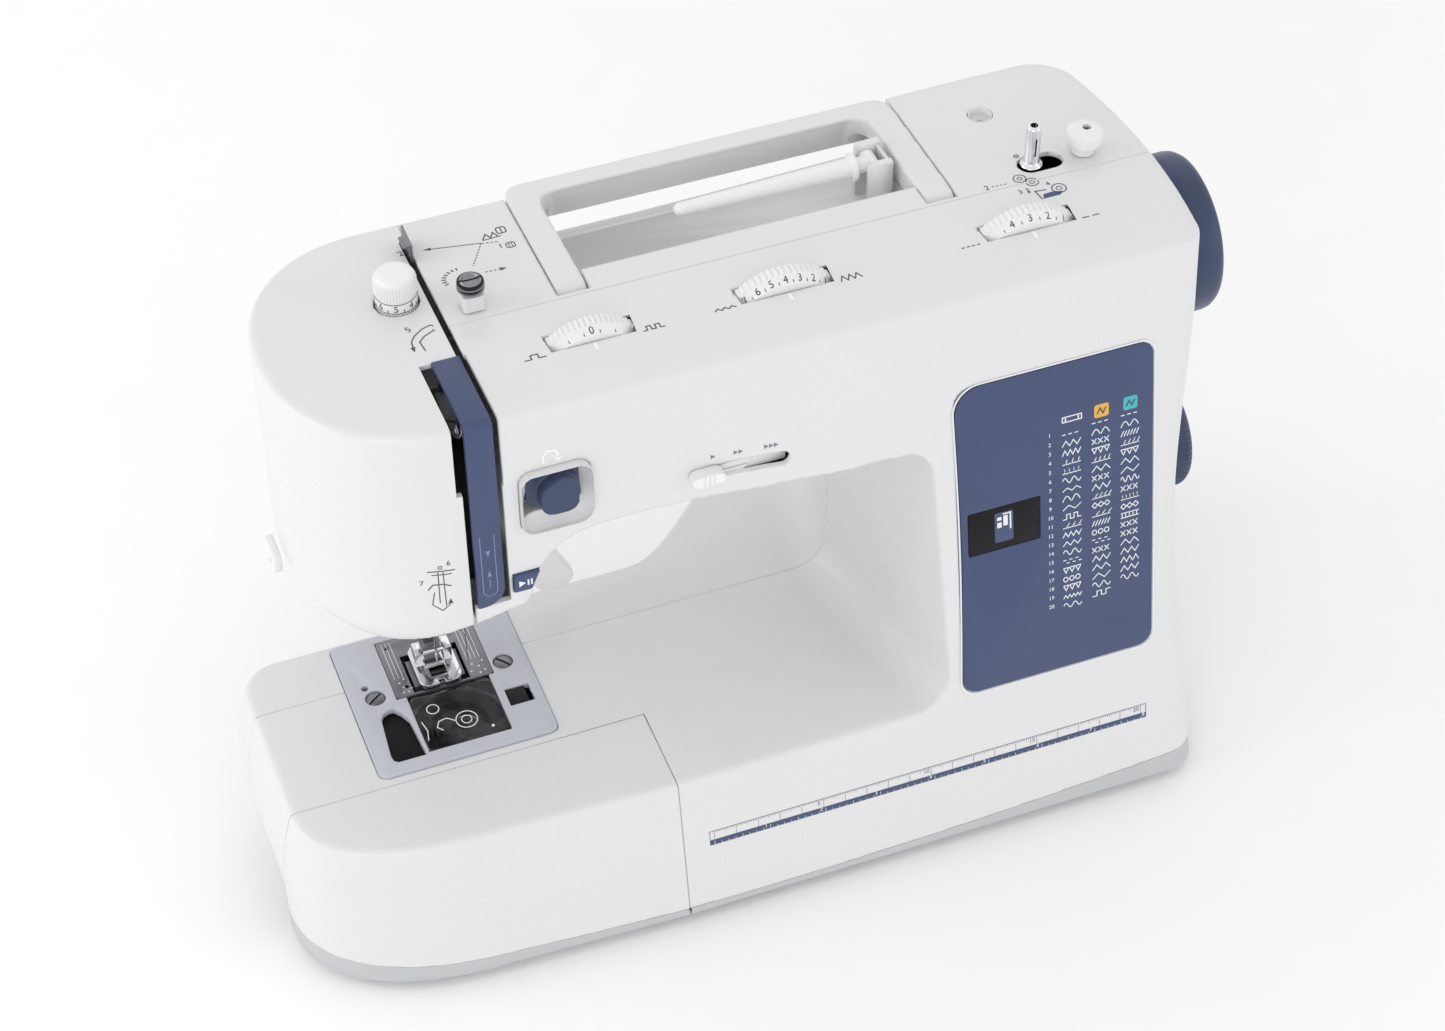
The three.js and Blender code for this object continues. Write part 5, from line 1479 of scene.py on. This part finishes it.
def print_head_diagram():
    """The threading diagram on the head's front, with its two step numbers."""
    dark = Ink()
    dark.ring(-136, 202, 0.8, 0.35)
    dark.stroke([(-141.2, 200.4), (-130.2, 199.6)], 0.5)
    dark.stroke([(-139.6, 198.4), (-131.6, 197.8)], 0.4)
    dark.stroke([(-137, 199.6), (-137.2, 182.6)], 0.4)
    dark.stroke([(-135, 199.4), (-134.8, 180.6)], 0.4)
    dark.stroke([(-141.4, 190.4), (-139.4, 193), (-135.4, 192.8), (-132.2, 191.2)], 0.5)
    dark.stroke([(-139, 188.8), (-140.2, 182.2), (-136.4, 178.4), (-133.2, 181.2)], 0.4)
    dark.area([(-134.2, 181.6), (-132, 181.6), (-133, 184.4)])
    dark.number(6, -132.6, 203.6, 2.6)
    dark.number(7, -143.6, 194.3, 2.6)
    lay(dark, "front", "ink_grey", "head_diagram")


def print_reverse_symbol():
    """A raised U-turn arrow above the lever, in the colour of the casing."""
    raised = Ink()
    raised.stroke([(-91.6, 243.2), (-91.6, 247), (-90, 249), (-87.2, 249), (-85.6, 247),
                   (-85.6, 244.6)], 0.9)
    raised.area([(-87.3, 245), (-83.9, 245), (-85.6, 242.6)])
    lay(raised, "front", "ink_pale", "reverse_symbol", rise=0.1)


def print_start_stop_symbol():
    low, high = mm_box("start_stop_button")
    sign = Ink()
    x, z = low.x + 2.4, (low.z + high.z) / 2
    sign.area([(x - 0.6, z - 1.7), (x - 0.6, z + 1.7), (x + 2.2, z)])
    sign.area([(x + 2.9, z - 1.6), (x + 3.6, z - 1.6), (x + 3.6, z + 1.6), (x + 2.9, z + 1.6)])
    sign.area([(x + 4.3, z - 1.6), (x + 5, z - 1.6), (x + 5, z + 1.6), (x + 4.3, z + 1.6)])
    sign.laid("start_stop_symbol", lambda u, v, w: (u, low.y - 0.06 - w, v), INKS["ink_white"],
              "casing_white", BODY_OF["start_stop_button"])


def print_guide(strip):
    """A grooved U and two small arrows on the blue cover, in a lighter blue."""
    low, high = mm_box("thread_guide_cover")
    middle = (low.x + high.x) / 2
    tree = seen_surface([strip])
    marks = Ink()
    left, right, foot = middle - 3.2, middle + 2.6, low.z + 6
    line = [(left, 214), (left, foot + 3), *arc(left + 2.9, foot + 3, 2.9, 180, 360, 10), (right, 214)]
    marks.stroke(line, 0.35)
    marks.stroke([(middle - 0.3, foot + 5), (middle - 0.3, 190)], 0.35)
    marks.area([(middle - 1.3, 206), (middle + 0.7, 206), (middle - 0.3, 202.8)])
    marks.area([(middle - 1.3, 192), (middle + 0.7, 192), (middle - 0.3, 195.2)])
    marks.laid("guide_groove", printed_from(tree, "front", 0.03), INKS["ink_slate"], "panel_blue",
               BODY_OF["thread_guide_cover"])


def on_top_of(node, rise=0.04):
    """A place function: (u, v) just above the highest face of a CAD node."""
    top = mm_box(node)[1].z
    return lambda u, v, w: (u, v, top + rise + w)


def print_plates():
    """Engraved seam guides, dots and stitch lines on the metal and grey plates."""
    on_plate = on_top_of("needle_plate_cover")
    pale = Ink()
    for u in (-101.6, -98.6, -95.4):
        pale.stroke([(u, 14.5), (u, 36)], 0.28)
        pale.stroke([(u, -1.5), (u, 3.5)], 0.28)
        pale.stroke([(u, -27.5), (u, -20.5)], 0.28)
    for i, u in enumerate((-101.6, -98.6, -95.4)):
        pale.number(3 + i, u + 1.5, 0.8, 1.5)
    pale.stroke([(-100, -29), (-91, -29)], 0.3)
    pale.area([(-92.6, -12.4), (-92.6, -11.2), (-91.2, -11.8)])
    pale.stroke([(-91.4, -11.8), (-89.8, -11.8)], 0.25)
    pale.ring(-98.8, -4.6, 0.5, 0.25)
    pale.ring(-98.8, -19, 0.5, 0.25)
    pale.stroke(rounded_rectangle(-166.2, -88.8, -35.8, 41.2, 3.2, 6), 0.3, closed=True)
    pale.laid("plate_guides", on_plate, INKS["ink_plate"], "plate_grey", "machine")
    steel = Ink()
    for u in (-145.2, -143.4, -141.6, -112.6, -110.8, -109, -107.2):
        steel.stroke([(u, 15), (u, 36.5)], 0.22)
    for u, v in ((-144, 12.4), (-141.6, 14.2), (-143, 9.6), (-139.8, 8), (-111.6, 12), (-109, 10),
                 (-113, 8), (-107, 7.2), (-106.8, 12.8), (-143.6, 6.6), (-141.4, 6.4), (-109.4, 6.2)):
        steel.disc(u, v, 0.45, 10)
    steel.laid("stitch_plate_marks", on_plate, INKS["ink_steel"], "steel", "machine")


def print_bobbin_cover():
    """The threading path of the bobbin, moulded on the clear cover."""
    path = Ink()
    path.ring(-123.1, -17.1, 4.6, 0.4)
    path.ring(-123.1, -17.1, 2.2, 0.35)
    path.ring(-135, -6.7, 2.6, 0.4)
    path.stroke([(-127.6, -16.4), (-131, -13.6), (-134.6, -14.2), (-136.2, -17.2), (-134.2, -19.6)], 0.4)
    path.stroke([(-141.6, -12), (-140.6, -17.7), (-141.8, -23)], 0.4)
    path.disc(-113.7, -24.4, 0.7, 12)
    place = on_top_of("bobbin_cover")
    path.laid("bobbin_cover_marks", place, INKS["ink_pale"], "casing_white", BODY_OF["bobbin_cover"])


def make_wells():
    """Black sheets seen through the openings of the needle plate and its small hole: painted shade."""
    low = mm_box("needle_plate_cover")[0]
    floor = low.z - 0.6
    shade_sheets = joined(
        prism("well", "xy", rounded_rectangle(-160, -143.9, -32, 1.5, 2), floor - 1, floor),
        box("latch_well", -104, -91.2, -18, -6, floor - 3.2, floor - 2.4),
        box("latch_side", -91.9, -91.2, -18, -6, floor - 3.2, floor),
        box("strip", -146, -103, -30, -27.6, floor - 3.2, floor),
        box("strip_link", -146, -91.6, -31.5, -17, floor - 3.4, floor - 3),
        box("well_link", -146, -143.9, -32, -26, floor - 3.2, floor),
    )
    # Painted shade: these black sheets stand for the shade under the plate's openings.
    finished(shade_sheets, "front_cover", "needle_plate_painted_shade", "window_black", replace=False)


make_camera()
make_stage()
covers = make_covers()
casing = seen_surface(covers.values())
make_dials()
make_tension_dial()
make_thread_guides()
make_spool_cup()
make_winder()
make_winder_stop()
make_handwheel()
make_pattern_selector()
make_reverse_lever()
make_speed_controls()
guide_strip = make_guide_cover()
on_face = make_panel()
make_handle()
make_bars()
make_needle()
make_head_fittings()
make_plates()
make_bobbin_cover()
make_hook_and_bobbin()
make_feet()
make_base_fittings()
make_wells()
print_stitch_chart(on_face)
print_badges(on_face)
print_panel_edges(on_face)
print_rule()
print_top()
print_speed_marks()
print_head_diagram()
print_reverse_symbol()
print_start_stop_symbol()
print_guide(guide_strip)
print_plates()
print_bobbin_cover()

for node, obj in frame["nodes"].items():
    obj.data.materials.clear()
    obj.data.materials.append(MATERIALS[SLOT_OF[node]])
